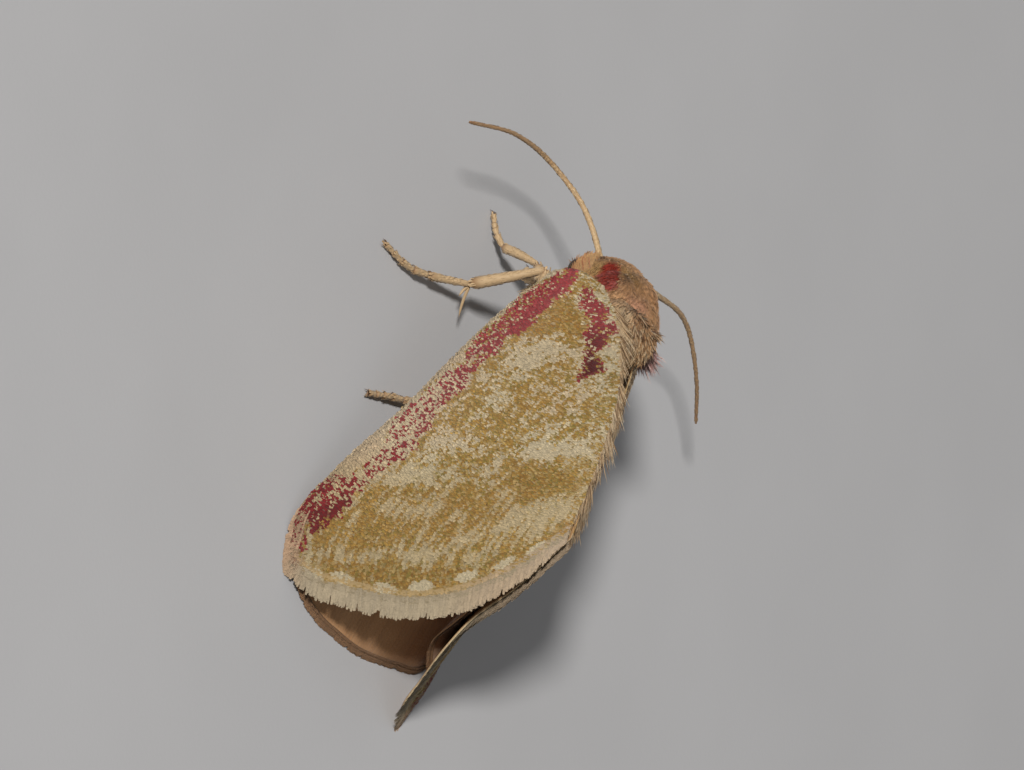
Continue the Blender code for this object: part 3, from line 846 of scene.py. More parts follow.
def fringe_rows(name, edge, normal, outward, colour_at, length_at, layers, gap, side, slot, seed):
    """Scales standing out from an edge in layers, longest beneath."""
    rng = np.random.default_rng(seed)
    rows = []
    total = np.linalg.norm(np.diff(edge(np.linspace(0, 1, 200)), axis=0), axis=1).sum()
    count = int(total / gap)
    clefts = round(total / CLEFT_GAP)
    for layer, (start, long, lift) in enumerate(layers):
        share = np.clip((np.arange(count) + rng.uniform(-0.3, 0.3, count)) / (count - 1), 0, 1)
        up, out = normal(share), outward(share)
        line = np.stack([share * total, share * 0], 1)
        clumped = rough_grain(line, (0.12, 1.0), seed + layer)
        cleft = np.abs((share * clefts + 0.3 * np.sin(share * 37.0)) % 1.0 - 0.5)
        notch = 0.3 * (1 - ease(0.02, 0.09, cleft))
        reach = length_at(share) * long * (0.92 + 0.06 * clumped + 0.05 * rng.random(count) - notch)
        sway = 0.14 * (rough_grain(line, (0.3, 1.0), seed + 9 + layer) - 0.5)
        lie = unit(out + unit(np.gradient(edge(share), axis=0)) * sway[:, None])
        size = columns(count, FRINGE_WIDTH * (0.8 + 0.4 * rng.random(count)), reach, 1.0)
        skin_place = columns(count, inset(share), 0.1 + 0.8 * layer / len(layers))
        rows.append((edge(share) + out * (start - 0.05) + up * lift, up, lie, size, skin_place,
                     colour_at(share, layer, rng)))
    return grow_coat(name, joined_roots(rows, side), STRAP_BLADE, FRINGE, slot, 0.02, 0.05, 0.05, 0.08, seed)


def forewing_fringe(sheet, side, label, seed):
    """The fringe starts on the costa a little before the tip, and runs round it down the rear edge."""
    def rim(u):
        return 1 - 0.12 * (1 - np.clip(u / 0.14, 0, 1)), np.clip((u - 0.14) / 0.86, 0, 1)

    def edge(u):
        return sheet(*rim(u))

    def normal(u):
        return sheet_ways(sheet, *rim(u))[0]

    def outward(u):
        _, rearward, upward = sheet_ways(sheet, *rim(u))
        turn = ease(0.0, 0.26, u)[:, None]
        return unit(rearward * (0.3 + 0.7 * turn) - upward * (1 - turn) * 0.9)

    def length_at(t):
        return np.interp(t, (0, 0.06, 0.14, 0.24, 0.72, 0.9, 1.0), (0.08, 0.18, 0.34, 0.5, 0.54, 0.5, 0.4))

    def colour_at(t, layer, rng):
        base = tinted(len(t), FRINGE_CREAM)
        if layer == 3:
            base = blend_to(base, srgb(196, 164, 108), 0.8 * ease(0.1, 0.2, t) * (1 - ease(0.72, 0.85, t)))
        base = blend_to(base, srgb(206, 178, 146), 0.6 * ease(0.55, 0.8, t))
        base = blend_to(base, srgb(208, 162, 128), 0.6 * (1 - ease(0.1, 0.22, t)))
        return base * (0.96 + 0.07 * rng.random(len(t)))[:, None]

    layers = ((0.0, 1.0, 0.0), (-0.08, 1.08, 0.012), (-0.16, 0.95, 0.024), (-0.22, 0.42, 0.034))
    fringe_rows("forewing_fringe_" + label, edge, normal, outward, colour_at, length_at, layers, 0.024, side,
                "forewing_scales", seed)


WINGS = {"left": LEFT_SHEET, "right": sheet_of(RIGHT_WING, BELL_HOLD, forewing_rise)}
for side, label, seed in ((1, "left", 11), (-1, "right", 61)):
    forewing(WINGS[label], side, label, seed)
    forewing_fringe(WINGS[label], side, label, seed + 5)


# Hindwings: sheets over the abdomen. The left one's rear edge hangs low across the open back.
HIND_LEFT = {
    "costa": ((1.3, 1.0, 3.0), (1.75, 3.0, 1.75), (2.2, 5.4, 0.85), (2.66, 7.8, 0.36), (2.78, 9.5, 0.12)),
    "inner": ((0.75, 1.6, 3.7), (0.35, 3.3, 3.1), (0.1, 5.0, 2.6), (-0.6, 6.3, 2.15), (-1.75, 7.1, 1.5),
              (-2.6, 7.6, 0.75), (-3.16, 8.0, 0.14)),
    "rear": ((2.78, 9.5, 0.12), (2.1, 9.72, 0.07), (1.3, 9.78, 0.06), (0.55, 9.68, 0.06), (-0.35, 9.51, 0.06),
             (-1.25, 9.18, 0.06), (-2.1, 8.8, 0.07), (-2.78, 8.45, 0.08), (-3.16, 8.0, 0.14)),
}
HIND_RIGHT = {
    "costa": ((1.3, 1.0, 3.0), (1.75, 3.0, 1.9), (2.2, 5.4, 1.2), (2.6, 7.6, 1.0), (2.55, 8.75, 0.7)),
    "inner": ((0.75, 1.6, 3.8), (0.3, 3.3, 3.5), (0.2, 5.0, 3.4), (0.25, 6.6, 3.5), (0.45, 7.8, 3.2)),
    "rear": ((2.55, 8.75, 0.7), (2.1, 8.82, 0.95), (1.2, 8.69, 1.5), (0.7, 8.5, 2.3), (0.45, 7.8, 3.2)),
}
HIND_BELL_HOLD = 2.2
PLEAT_DEPTH, PLEAT_TURNS = 0.03, 46.0
HIND_BULGE = 0.32
HIND_FRINGE = 0.17


def hindwing_rise(along, across):
    pleat = PLEAT_DEPTH * np.sin(across * PLEAT_TURNS) * ease(0.1, 0.4, along) * (1 - ease(0.6, 0.95, along))
    bow = HIND_BULGE * np.sin(np.pi * across) * np.sin(np.pi * np.clip(along, 0, 1))
    return bow + pleat * np.sin(np.pi * across)


def hindwing_finish():
    """Thin tan wing: fine scaling in rows, clouded and faintly streaked darker, with a faint silk gloss."""
    finish = Finish("hindwing", 0.5, specular=0.35, sheen=0.3)
    place = finish.attribute("wing_place", "Vector")
    rows = finish.noise(finish.stretch(place, (150.0, 110.0, 1.0)), 1.0, 2.0)
    cloud = finish.noise(finish.stretch(place, (4.0, 7.0, 1.0)), 1.0, 3.0)
    streak = finish.noise(finish.stretch(place, (6.0, 90.0, 1.0)), 1.0, 2.0)
    ground = finish.mix(finish.span(cloud, 0.3, 0.7), srgb(198, 150, 104), srgb(176, 128, 84))
    ground = finish.mix(finish.span(rows, 0.4, 0.7, 0.0, 0.3), ground, srgb(194, 160, 118))
    ground = finish.mix(finish.span(streak, 0.45, 0.7, 0.0, 0.2), ground, srgb(118, 82, 54))
    finish.bump(finish.math("ADD", rows, streak), 0.02, 0.7)
    return finish.colour(ground)


HINDWING = hindwing_finish()


def hindwing(edges, side, label, seed):
    sheet = sheet_of(edges, HIND_BELL_HOLD, hindwing_rise)
    mesh, _ = sheet_shell("hindwing_skin_" + label, sheet, 70, 90, 0.03, side)
    skin = show("hindwing_skin_" + label, mesh, HINDWING, "hindwing_scales")
    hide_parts("hindwing_" + label)

    def edge(t):
        return sheet(np.ones(len(t)), t)

    def normal(t):
        return sheet_ways(sheet, np.ones(len(t)), t)[0]

    def outward(t):
        way = sheet_ways(sheet, np.ones(len(t)), t)[1]
        along = unit(np.gradient(edge(t), axis=0))
        return unit(way - along * (way * along).sum(1, keepdims=True))

    def colour_at(t, layer, rng):
        base = blend_to(tinted(len(t), srgb(140, 104, 72)), srgb(156, 120, 86), 0.5 * rng.random(len(t)))
        return base * (0.94 + 0.1 * rng.random(len(t)))[:, None]

    layers = ((0.0, 1.0, 0.0), (0.0, 0.8, 0.01), (-0.06, 0.5, 0.02))
    fringe_rows("hindwing_fringe_" + label, edge, normal, outward, colour_at, lambda t: HIND_FRINGE, layers,
                0.03, side, "hindwing_scales", seed)


hindwing(HIND_LEFT, 1, "left", 31)
hindwing(HIND_RIGHT, -1, "right", 41)

# Body: lumps run together into one skin under the coat
# A lump is (centre, half sizes, pitch), and a pair is one lump on either side


def pair(centre, half, pitch):
    x, y, z = centre
    return ((x, y, z), half, pitch), ((-x, y, z), half, pitch)


THORAX_LUMPS = (((0, 0.36, 3.6), (1.02, 1.38, 1.5), 0.0), ((0, -0.22, 3.72), (0.82, 1.02, 1.18), 0.0),
                *pair((0.58, 0.02, 4.12), (0.45, 0.78, 0.6), 0.0), ((0, -0.77, 3.45), (0.82, 0.7, 0.98), 0.0),
                *pair((0.72, 0.35, 3.95), (0.4, 0.95, 0.5), 0.1),
                ((0, 0.55, 2.9), (0.8, 1.45, 1.1), 0.0), ((0, 1.6, 3.0), (0.85, 0.9, 0.95), 0.2))
HEAD_LUMPS = (((0, -0.86, 3.12), (0.64, 0.5, 0.66), 0.3), ((0, -0.98, 3.48), (0.5, 0.44, 0.4), 0.0),
              ((0, -1.1, 2.88), (0.42, 0.38, 0.5), 0.3), *pair((0.2, -1.32, 2.5), (0.12, 0.3, 0.17), -0.5),
              *pair((0.2, -1.56, 2.66), (0.08, 0.2, 0.1), -0.9),
              *pair((0.4, -1.14, 3.3), (0.13, 0.13, 0.13), 0.0))
COXA_LUMPS = tuple(((side * x, y, z), (0.24, 0.3, 0.6), 0.0) for side, _ in SIDES
                   for x, y, z in ((0.36, -0.3, 2.05), (0.55, 0.55, 2.05), (0.48, 1.3, 2.1)))
ABDOMEN_LINE = ((0, 1.9, 2.5), (0, 3.3, 1.95), (0, 5.0, 1.42), (0, 6.6, 1.05), (0, 7.4, 0.92))
ABDOMEN_GIRTH = ((0, 0.2, 0.5, 0.8, 1.0), (0.8, 0.84, 0.74, 0.5, 0.2))
ABDOMEN_RINGS = 8


def abdomen_lumps():
    lumps = []
    for i in range(ABDOMEN_RINGS):
        share = i / (ABDOMEN_RINGS - 1)
        centre = through(ABDOMEN_LINE, np.array([share]))[0]
        girth = float(np.interp(share, *ABDOMEN_GIRTH))
        centre[2] = max(centre[2], girth + 0.12)
        lumps.append((tuple(centre), (girth, 0.62, girth * 0.96), -0.3))
    return lumps


def run_together(lumps, voxel, smooth):
    """One closed skin round all the lumps, in millimetres."""
    work = bmesh.new()
    for centre, half, pitch in lumps:
        place = Matrix.Translation(centre) @ Matrix.Rotation(pitch, 4, "X") @ Matrix.Diagonal((*half, 1.0))
        bmesh.ops.create_uvsphere(work, u_segments=36, v_segments=24, radius=1.0, matrix=place)
    mesh = bpy.data.meshes.new("lumps")
    work.to_mesh(mesh)
    work.free()
    obj = placed("lumps", mesh)
    remesh = obj.modifiers.new("one skin", "REMESH")
    remesh.mode = "VOXEL"
    remesh.voxel_size = voxel
    soften = obj.modifiers.new("soften", "SMOOTH")
    soften.factor = 0.5
    soften.iterations = smooth
    graph = bpy.context.evaluated_depsgraph_get()
    made = bpy.data.meshes.new_from_object(obj.evaluated_get(graph), depsgraph=graph)
    bpy.data.objects.remove(obj, do_unlink=True)
    return made


def mesh_arrays(mesh):
    mesh.calc_loop_triangles()
    points = np.array([v.co for v in mesh.vertices])
    normals = np.array([v.normal for v in mesh.vertices])
    tris = np.array([t.vertices for t in mesh.loop_triangles])
    return points, normals, tris


def sown(arrays, count, rng, density):
    """Random places on a skin with their outward ways, thicker where density is higher."""
    points, normals, tris = arrays
    corners = points[tris]
    area = np.linalg.norm(np.cross(corners[:, 1] - corners[:, 0], corners[:, 2] - corners[:, 0]), axis=1)
    weight = area * density(corners.mean(1))
    chosen = rng.choice(len(tris), count, p=weight / weight.sum())
    a, b = rng.random(count), rng.random(count)
    over = a + b > 1
    a[over], b[over] = 1 - a[over], 1 - b[over]
    shares = np.stack([1 - a - b, a, b], 1)[..., None]
    return (corners[chosen] * shares).sum(1), unit((normals[tris[chosen]] * shares).sum(1))


COLLAR_SPOT = (0.66, -0.68, 3.98)
BUFF = srgb(216, 170, 124)
TAN = srgb(204, 152, 102)
GREY_TAN = srgb(194, 154, 108)
OLIVE_TAN = srgb(196, 160, 98)
UMBER = srgb(104, 62, 36)
HEAD_RED = srgb(176, 60, 44)
PLUM = srgb(176, 78, 98)
PALE_BUFF = srgb(232, 206, 166)
PINK_BUFF = srgb(226, 166, 134)
# dark plum painted as shade under the shoulder tuft and at its root
SHADE_PLUM = srgb(104, 38, 44)
CREASE_DEPTH = 0.09


def body_colours(places, rng):
    """The coat's colour over the body, for skin and hair alike, with painted shade under the shoulder tuft,
    along the collar's parting and in the creases.
    """
    x, y, z = places.T
    lone = rng.random(len(x))
    broad = rough_grain(np.stack([x + z, y], 1), (0.5, 0.45), 71)
    colour = blend_to(tinted(len(x), TAN), BUFF, 0.75 * broad)
    colour = blend_to(colour, GREY_TAN, 0.7 * ease(0.1, 0.9, y) * ease(3.6, 4.4, z))
    temple = bump_at(y, -0.85, 0.5) * ease(2.9, 3.3, z) * ease(0.2, 0.5, np.abs(x))
    colour = blend_to(colour, OLIVE_TAN, 0.65 * temple)
    spot = np.stack([np.abs(x), y, z], 1) - np.array(COLLAR_SPOT)
    shown = np.hypot(spot @ np.array(PHOTO_RIGHT) / 0.27, spot @ np.array(PHOTO_UP) / 0.36)
    red = 1 - ease(0.75, 1.15, shown)
    red = red * ease(3.3, 3.6, z) * (1 - ease(-0.2, 0.0, y))
    colour = blend_to(colour, HEAD_RED, np.clip(red * 1.15 - 0.25 * lone * (red < 0.8), 0, 1))
    colour = blend_to(colour, PALE_BUFF, 0.85 * (1 - ease(2.2, 3.0, z)) * ease(-1.2, -0.6, y))
    colour = blend_to(colour, PALE_BUFF, 0.45 * ease(1.9, 2.6, y))
    crest = bump_at(y, 1.15, 0.35) * bump_at(np.abs(x), 0.85, 0.35) * ease(4.0, 4.4, z)
    colour = blend_to(colour, PLUM, 0.9 * crest)
    # painted shade: dark plum on the right side of the thorax under the shoulder tuft
    tuft_shade = bump_at(y, 0.75, 0.4) * ease(0.5, 0.75, -x) * ease(3.6, 4.0, z)
    colour = blend_to(colour, SHADE_PLUM, 0.85 * tuft_shade)
    lobes = bump_at(y, -0.05, 0.3) * bump_at(np.abs(x), 0.45, 0.4) * ease(4.0, 4.3, z)
    colour = blend_to(colour, PINK_BUFF, 0.7 * lobes)
    # painted shade: umber along the parting between the collar's lobes
    parting_shade = bump_at(x, -0.05, 0.18) * bump_at(y, -0.62, 0.36) * ease(4.1, 4.3, z)
    colour = blend_to(colour, UMBER, 0.42 * parting_shade)
    # painted shade: umber darkening in the creases behind the collar's lobes and beside the shoulder plates
    colour = blend_to(colour, UMBER, 0.75 * np.clip(creases(places), 0, 1))
    plate = bump_at(np.abs(x), 0.68, 0.3) * bump_at(y, 0.34, 0.42) * ease(3.9, 4.2, z)
    colour = blend_to(colour, PALE_BUFF, 0.8 * plate)
    behind = ease(0.1, 0.3, y) * (1 - ease(1.2, 1.6, y)) * ease(4.1, 4.4, z)
    colour = blend_to(colour, PALE_BUFF, 0.75 * behind * (rng.random(len(x)) > 0.6))
    colour = blend_to(colour, UMBER, (0.35 + 0.4 * behind) * (rng.random(len(x)) > 0.88 - 0.12 * behind))
    return colour * (0.82 + 0.32 * lone)[:, None]


def creases(places):
    """Where the collar's lobes end behind, and where the shoulder plates meet the back."""
    x, y, z = np.abs(places[:, 0]), places[:, 1], places[:, 2]
    collar_end = 0.05 + 0.5 * np.maximum(0.7 - x, 0) + 0.25 * np.maximum(x - 0.7, 0)
    across = bump_at(y - collar_end, 0.0, 0.08) * ease(3.6, 4.0, z)
    on_back = ease(0.1, 0.3, y) * (1 - ease(1.0, 1.4, y)) * ease(4.0, 4.3, z)
    return across + bump_at(x - 0.1 * y, 0.6, 0.07) * on_back


def body_unwrap(places):
    """Round the body's long axis, and along it."""
    x, y, z = places.T
    middle = np.interp(y, (-1.5, 0.5, 3.3, 5.0, 7.4), (2.95, 3.3, 1.95, 1.42, 0.92))
    turn = np.arctan2(x, z - middle) / (2 * math.pi) + 0.5
    return np.stack([inset(turn), inset((y + 2.0) / 10.2)], 1)


def body_skin_finish():
    finish = Finish("body skin", 0.7, specular=0.2, sheen=0.3)
    nap = finish.noise(finish.place_mm((9.0, 3.0, 9.0)), 1.6, 3.0, 0.6)
    finish.bump(nap, 0.06, 1.0)
    shade = finish.span(nap, 0.3, 0.7, 0.5, 0.85)
    return finish.colour(finish.mix(1.0, finish.attribute("marking", "Color"), shade, "MULTIPLY"))


def along_skin(normals, way):
    """The part of a way that lies in the skin."""
    way = np.broadcast_to(np.asarray(way, float), normals.shape)
    return unit(way - normals * (way * normals).sum(1, keepdims=True))


def body_coat(arrays, name, count, density, lie, length, width, colour, blade, lean, spread, slot, seed):
    rng = np.random.default_rng(seed)
    places, normals = sown(arrays, count, rng, density)
    size = columns(count, width, length(places) * (0.75 + 0.5 * rng.random(count)), width)
    roots = coat_roots(places - 0.02 * normals, normals, along_skin(normals, lie(places)), size,
                       body_unwrap(places), colour(places, rng))
    grow_coat(name, roots, blade, HAIR, slot, lean, spread, 0.25, 0.2, seed)


def body():
    mesh = run_together(THORAX_LUMPS + HEAD_LUMPS + COXA_LUMPS + tuple(abdomen_lumps()), 0.055, 5)
    points, normals, _ = mesh_arrays(mesh)
    sunk = points - normals * (CREASE_DEPTH * np.clip(creases(points), 0, 1))[:, None]
    mesh.vertices.foreach_set("co", sunk.astype(np.float32).ravel())
    mesh.update()
    arrays = mesh_arrays(mesh)
    tint = body_colours(arrays[0], np.random.default_rng(5))
    set_floats(mesh, "marking", "FLOAT_COLOR", painted(tint))
    skin = show("body_skin", mesh, body_skin_finish(), "body_fur")
    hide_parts("head", "thorax", "abdomen")

    for coat in BODY_COATS:
        body_coat(arrays, *coat)


def rearward(places):
    x, y, _ = places.T
    front = 1 - ease(-1.35, -1.0, y)
    side = ease(0.3, 0.9, np.abs(x))
    return np.stack([0.25 * np.sign(x) * side, 1 - 0.6 * front, 0.9 * front - 0.3 * side], 1)


def on_head(places):
    _, y, z = places.T
    return (y < -0.45) * (0.4 + ease(2.4, 3.0, z))


def on_thorax(places):
    _, y, z = places.T
    return (y > -0.6) * (y < 2.1) * ease(2.6, 3.4, z) * (0.25 + ease(3.8, 4.4, z))


def on_crest(places):
    x, y, z = places.T
    return (np.abs(x) < 0.42) * (y > 0.2) * (y < 0.95) * (z > 4.4) * (0.3 + ease(0.3, 0.8, y))


def on_brow(places):
    x, y, z = places.T
    return (np.abs(x) > 0.25) * (y > -1.05) * (y < -0.5) * (z > 2.92) * (z < 3.45) * 1.0


def on_chest(places):
    _, y, z = places.T
    return (y > -0.8) * (y < 2.1) * (1 - ease(2.6, 3.2, z))


def on_abdomen(places):
    return (places[:, 1] > 1.8) * 1.0


def brow_lie(places):
    return columns(len(places), 0.48 * np.sign(places[:, 0]), -1.0, -0.14)


def brow_colours(places, rng):
    colour = blend_to(body_colours(places, rng), GREY_TAN, np.full(len(places), 0.7))
    return blend_to(colour, HEAD_RED, 0.4 * (rng.random(len(places)) > 0.72))


# Name, how many, where they stand, which way they lie, length, width, colours, blade, lean and its
# spread, slot, seed
BODY_COATS = (
    ("head_hair", 9000, on_head, rearward, lambda p: 0.17 + 0.06 * ease(-1.2, -0.6, p[:, 1]), 0.032,
     body_colours, HAIR_BLADE, 0.2, 0.12, "body_fur", 81),
    ("thorax_scales", 17000, on_thorax, rearward, lambda p: 0.22, 0.055,
     body_colours, LOCK_BLADE, 0.12, 0.06, "body_fur", 82),
    ("thorax_hair", 7000, on_thorax, rearward, lambda p: 0.22 + 0.1 * ease(0.2, 1.0, p[:, 1]), 0.026,
     body_colours, HAIR_BLADE, 0.26, 0.2, "body_fur", 83),
    ("crest_hair", 900, on_crest, lambda p: (0.0, 1.0, 0.0), lambda p: 0.34, 0.03,
     body_colours, HAIR_BLADE, 0.6, 0.25, "body_fur", 86),
    ("brow_hair", 3000, on_brow, brow_lie, lambda p: 0.3, 0.036,
     brow_colours, HAIR_BLADE, 0.22, 0.26, "body_fur", 87),
    ("chest_hair", 3600, on_chest, lambda p: (0.0, 0.6, -0.8), lambda p: 0.28, 0.036,
     body_colours, HAIR_BLADE, 0.16, 0.1, "body_fur", 84),
    ("abdomen_scales", 9000, on_abdomen, lambda p: (0.0, 1.0, -0.1),
     lambda p: 0.3 + 0.12 * ease(6.6, 7.4, p[:, 1]), 0.06,
     body_colours, LOCK_BLADE, 0.12, 0.08, "abdomen_fur", 85),
)
body()


# Eyes, feelers and legs

EYE_SPOT, EYE_HALF = (0.47, -1.04, 2.8), (0.22, 0.26, 0.29)


def eye_finish():
    finish = Finish("eye", 0.3, specular=0.35, coat=0.08)
    facets = finish.cells(finish.place_mm(), 26.0)
    cloud = finish.noise(finish.place_mm(), 2.2, 2.0)
    finish.bump(facets, 0.008, 0.5)
    return finish.colour(finish.mix(finish.span(cloud, 0.35, 0.65), srgb(48, 34, 20), srgb(86, 62, 34)))


def eyes():
    material = eye_finish()
    for side, label in SIDES:
        work = bmesh.new()
        place = Matrix.Translation(mirrored(EYE_SPOT, side)) @ Matrix.Diagonal((*EYE_HALF, 1.0))
        bmesh.ops.create_icosphere(work, subdivisions=5, radius=1.0, matrix=place)
        mesh = bpy.data.meshes.new("eye_ball_" + label)
        work.to_mesh(mesh)
        work.free()
        ball = show("eye_ball_" + label, mesh, material, "eye")
        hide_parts("eye_" + label)


def swept(points, radii, sides, flat=1.0):
    """(points, faces) of a closed tube of these radii along a line."""
    pts = np.asarray(points, float)
    ways = unit(np.gradient(pts, axis=0))
    side = np.array([0.0, 0.0, 1.0])
    spots, faces = [], []
    for place, way, radius in zip(pts, ways, radii):
        side = side - way * (side @ way)
        side = side / np.linalg.norm(side)
        other = np.cross(way, side)
        for k in range(sides):
            a = 2 * math.pi * k / sides
            spots.append(place + radius * (flat * math.cos(a) * side + math.sin(a) * other))
    for i in range(len(pts) - 1):
        for k in range(sides):
            a, b = i * sides + k, i * sides + (k + 1) % sides
            faces.append((a, b, b + sides, a + sides))
    faces += [tuple(range(sides))[::-1], tuple((len(pts) - 1) * sides + k for k in range(sides))]
    return spots, faces


def joined_tubes(name, tubes):
    spots, faces = [], []
    for tube_spots, tube_faces in tubes:
        faces += [tuple(len(spots) + i for i in face) for face in tube_faces]
        spots += list(tube_spots)
    return facing_out(new_mesh(name, spots, faces))


ANTENNA_LEFT = ((0.42, -1.24, 3.3), (0.6, -1.62, 3.16), (1.22, -2.4, 2.75), (2.1, -2.78, 2.35),
                (3.78, -2.48, 2.3), (5.6, -1.54, 2.2))
ANTENNA_RIGHT = ((-0.42, -1.24, 3.3), (-0.75, -1.66, 3.2), (-2.57, -2.47, 2.95), (-3.95, -2.86, 2.81),
                 (-6.1, -2.53, 2.26), (-7.5, -2.2, 1.66))
ANTENNA_GIRTH = ((0, 0.012, 0.03, 0.05, 0.5, 0.97, 1.0), (0.085, 0.105, 0.088, 0.07, 0.058, 0.04, 0.025))
ANTENNA_SIDES, LEG_SIDES, SPUR_SIDES, CLAW_SIDES = 12, 14, 8, 6  # sides of each tube
FOOT_CLEAR = 0.02  # claws and leg scales stay this far off the floor
ANTENNA_RING = 0.115


def antenna_finish():
    """Ringed feeler: pale scaled root, warm brown further out, dark joints between the rings."""
    finish = Finish("antenna", 0.5, specular=0.35, sheen=0.15)
    share = finish.attribute("along")
    ring = finish.attribute("ring")
    grain = finish.noise(finish.place_mm(), 14.0, 3.0)
    colour = finish.mix(finish.span(share, 0.02, 0.5), srgb(190, 164, 126), srgb(152, 122, 88))
    colour = finish.mix(finish.span(share, 0.6, 1.0), colour, srgb(136, 100, 68))
    colour = finish.mix(finish.span(ring, 0.75, 1.0, 0.0, 0.25), colour, srgb(96, 64, 40))
    colour = finish.mix(finish.span(grain, 0.4, 0.7, 0.0, 0.4), colour, srgb(196, 156, 108))
    finish.bump(grain, 0.01, 0.6)
    return finish.colour(colour)


def antenna(route, label, material, seed):
    length = np.linalg.norm(np.diff(through(route, np.linspace(0, 1, 300)), axis=0), axis=1).sum()
    rings = int(length / ANTENNA_RING)
    shares, radii, phases = [], [], []
    for i in range(rings):
        for part, swell in ((0.0, 0.95), (0.25, 1.0), (0.6, 1.03), (0.86, 1.04), (0.97, 0.97)):
            share = (i + part) / rings
            shares.append(share)
            radii.append(float(np.interp(share, *ANTENNA_GIRTH)) * swell)
            phases.append(part)
    tube = swept(through(route, np.array(shares)), radii, ANTENNA_SIDES)
    mesh = joined_tubes("antenna_stalk_" + label, [tube])
    set_floats(mesh, "along", "FLOAT", np.repeat(shares, ANTENNA_SIDES))
    set_floats(mesh, "ring", "FLOAT", np.repeat(phases, ANTENNA_SIDES))
    stalk = show("antenna_stalk_" + label, mesh, material, "antenna")
    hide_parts("antenna_" + label)
    rng = np.random.default_rng(seed)
    count = int(length * 90)
    share = rng.uniform(0.01, 0.985, count)
    way = unit(through(route, share + 0.004) - through(route, share - 0.004))
    around = unit(np.cross(way, rng.normal(size=(count, 3))))
    girth = np.interp(share, (0, 0.05, 0.5, 1.0), (0.086, 0.07, 0.058, 0.034))
    colour = blend_to(tinted(count, srgb(188, 162, 124)), srgb(148, 118, 86), 0.85 * ease(0.15, 0.8, share))
    skin_place = np.stack([inset(share), rng.uniform(0.05, 0.95, count)], 1)
    roots = coat_roots(through(route, share) + around * (girth * 0.97)[:, None], around, way,
                       columns(count, 0.03, 0.09, 0.4), skin_place, colour)
    grow_coat("antenna_scales_" + label, roots, STRAP_BLADE, LIMB_SCALES, "antenna",
              0.03, 0.02, 0.12, 0.2, seed)


LEG_ROUTES = {
    "fore": ((0.42, -0.3, 1.9), (0.52, -1.12, 1.62), (0.62, -1.58, 0.5), (0.78, -2.0, 0.2),
             (0.92, -2.35, 0.1)),
    "mid": ((0.6, 0.45, 2.1), (1.18, -0.48, 2.45), (1.62, 0.27, 0.8), (2.33, 0.61, 0.42), (3.22, 0.96, 0.2),
            (4.25, 1.03, 0.09)),
    "fore_right": ((0.42, -0.3, 1.9), (0.52, -1.12, 1.62), (0.62, -1.58, 0.5), (0.84, -1.88, 0.22),
                   (1.04, -2.16, 0.1)),
    "hind": ((0.5, 1.3, 1.8), (1.3, 2.1, 1.35), (0.98, 3.15, 0.5), (1.3, 3.5, 0.3), (2.05, 3.9, 0.18),
             (2.78, 4.32, 0.1)),
}
LEG_SPURS = {"fore": (), "mid": ((-0.5, 0.62, -0.36), (-0.02, 0.34, -0.2)),
             "hind": ((0.3, 0.3, -0.16), (-0.16, 0.42, -0.14))}
FEMUR = ((0, 0.15, 0.6, 0.92, 0.98, 1), (0.14, 0.17, 0.16, 0.12, 0.08, 0.02))
TIBIA = ((0, 0.02, 0.06, 0.3, 0.72, 0.92, 0.98, 1), (0.02, 0.07, 0.09, 0.105, 0.142, 0.145, 0.11, 0.05))
TARSOMERE = ((0, 0.12, 0.6, 0.9, 1), (0.55, 0.8, 0.9, 1.12, 0.6))
TARSUS_SHARES = (0.0, 0.42, 0.6, 0.75, 0.88, 1.0)


def leg_finish():
    """Buff scaled leg, browner at its joints."""
    finish = Finish("leg", 0.55, specular=0.3, sheen=0.2)
    joint = finish.attribute("joint")
    grain = finish.noise(finish.place_mm(), 10.0, 3.0)
    colour = finish.mix(finish.span(grain, 0.35, 0.65), srgb(178, 152, 116), srgb(184, 158, 122))
    colour = finish.mix(finish.math("MULTIPLY", joint, 0.75), colour, srgb(120, 82, 50))
    finish.bump(grain, 0.004, 0.5)
    return finish.colour(colour)


def claw_finish():
    finish = Finish("claw", 0.3, specular=0.5)
    grain = finish.noise(finish.place_mm(), 20.0, 2.0)
    return finish.colour(finish.mix(grain, srgb(50, 32, 20), srgb(84, 56, 34)))


def line_between(start, end, steps, sag=0.0):
    share = 0.5 - 0.5 * np.cos(np.linspace(0, np.pi, steps))
    line = np.asarray(start) + share[:, None] * (np.asarray(end) - np.asarray(start))
    line[:, 2] += sag * np.sin(np.pi * share)
    return share, line


def leg_lines(route, slim):
    """(line, radii, share) of thigh, shin and the foot's five joints."""
    lines = []
    for start, end, girths, sag in ((route[0], route[1], FEMUR, 0.04), (route[1], route[2], TIBIA, 0.05)):
        share, line = line_between(start, end, 22, sag)
        lines.append((line, slim * np.interp(share, *girths), share))
    for i in range(5):
        share = np.linspace(0, 1, 10)
        low, high = TARSUS_SHARES[i], TARSUS_SHARES[i + 1]
        line = through(route[2:], low + share * (high - low))
        lines.append((line, slim * (0.1 - 0.007 * i) * np.interp(share, *TARSOMERE), share))
    return lines


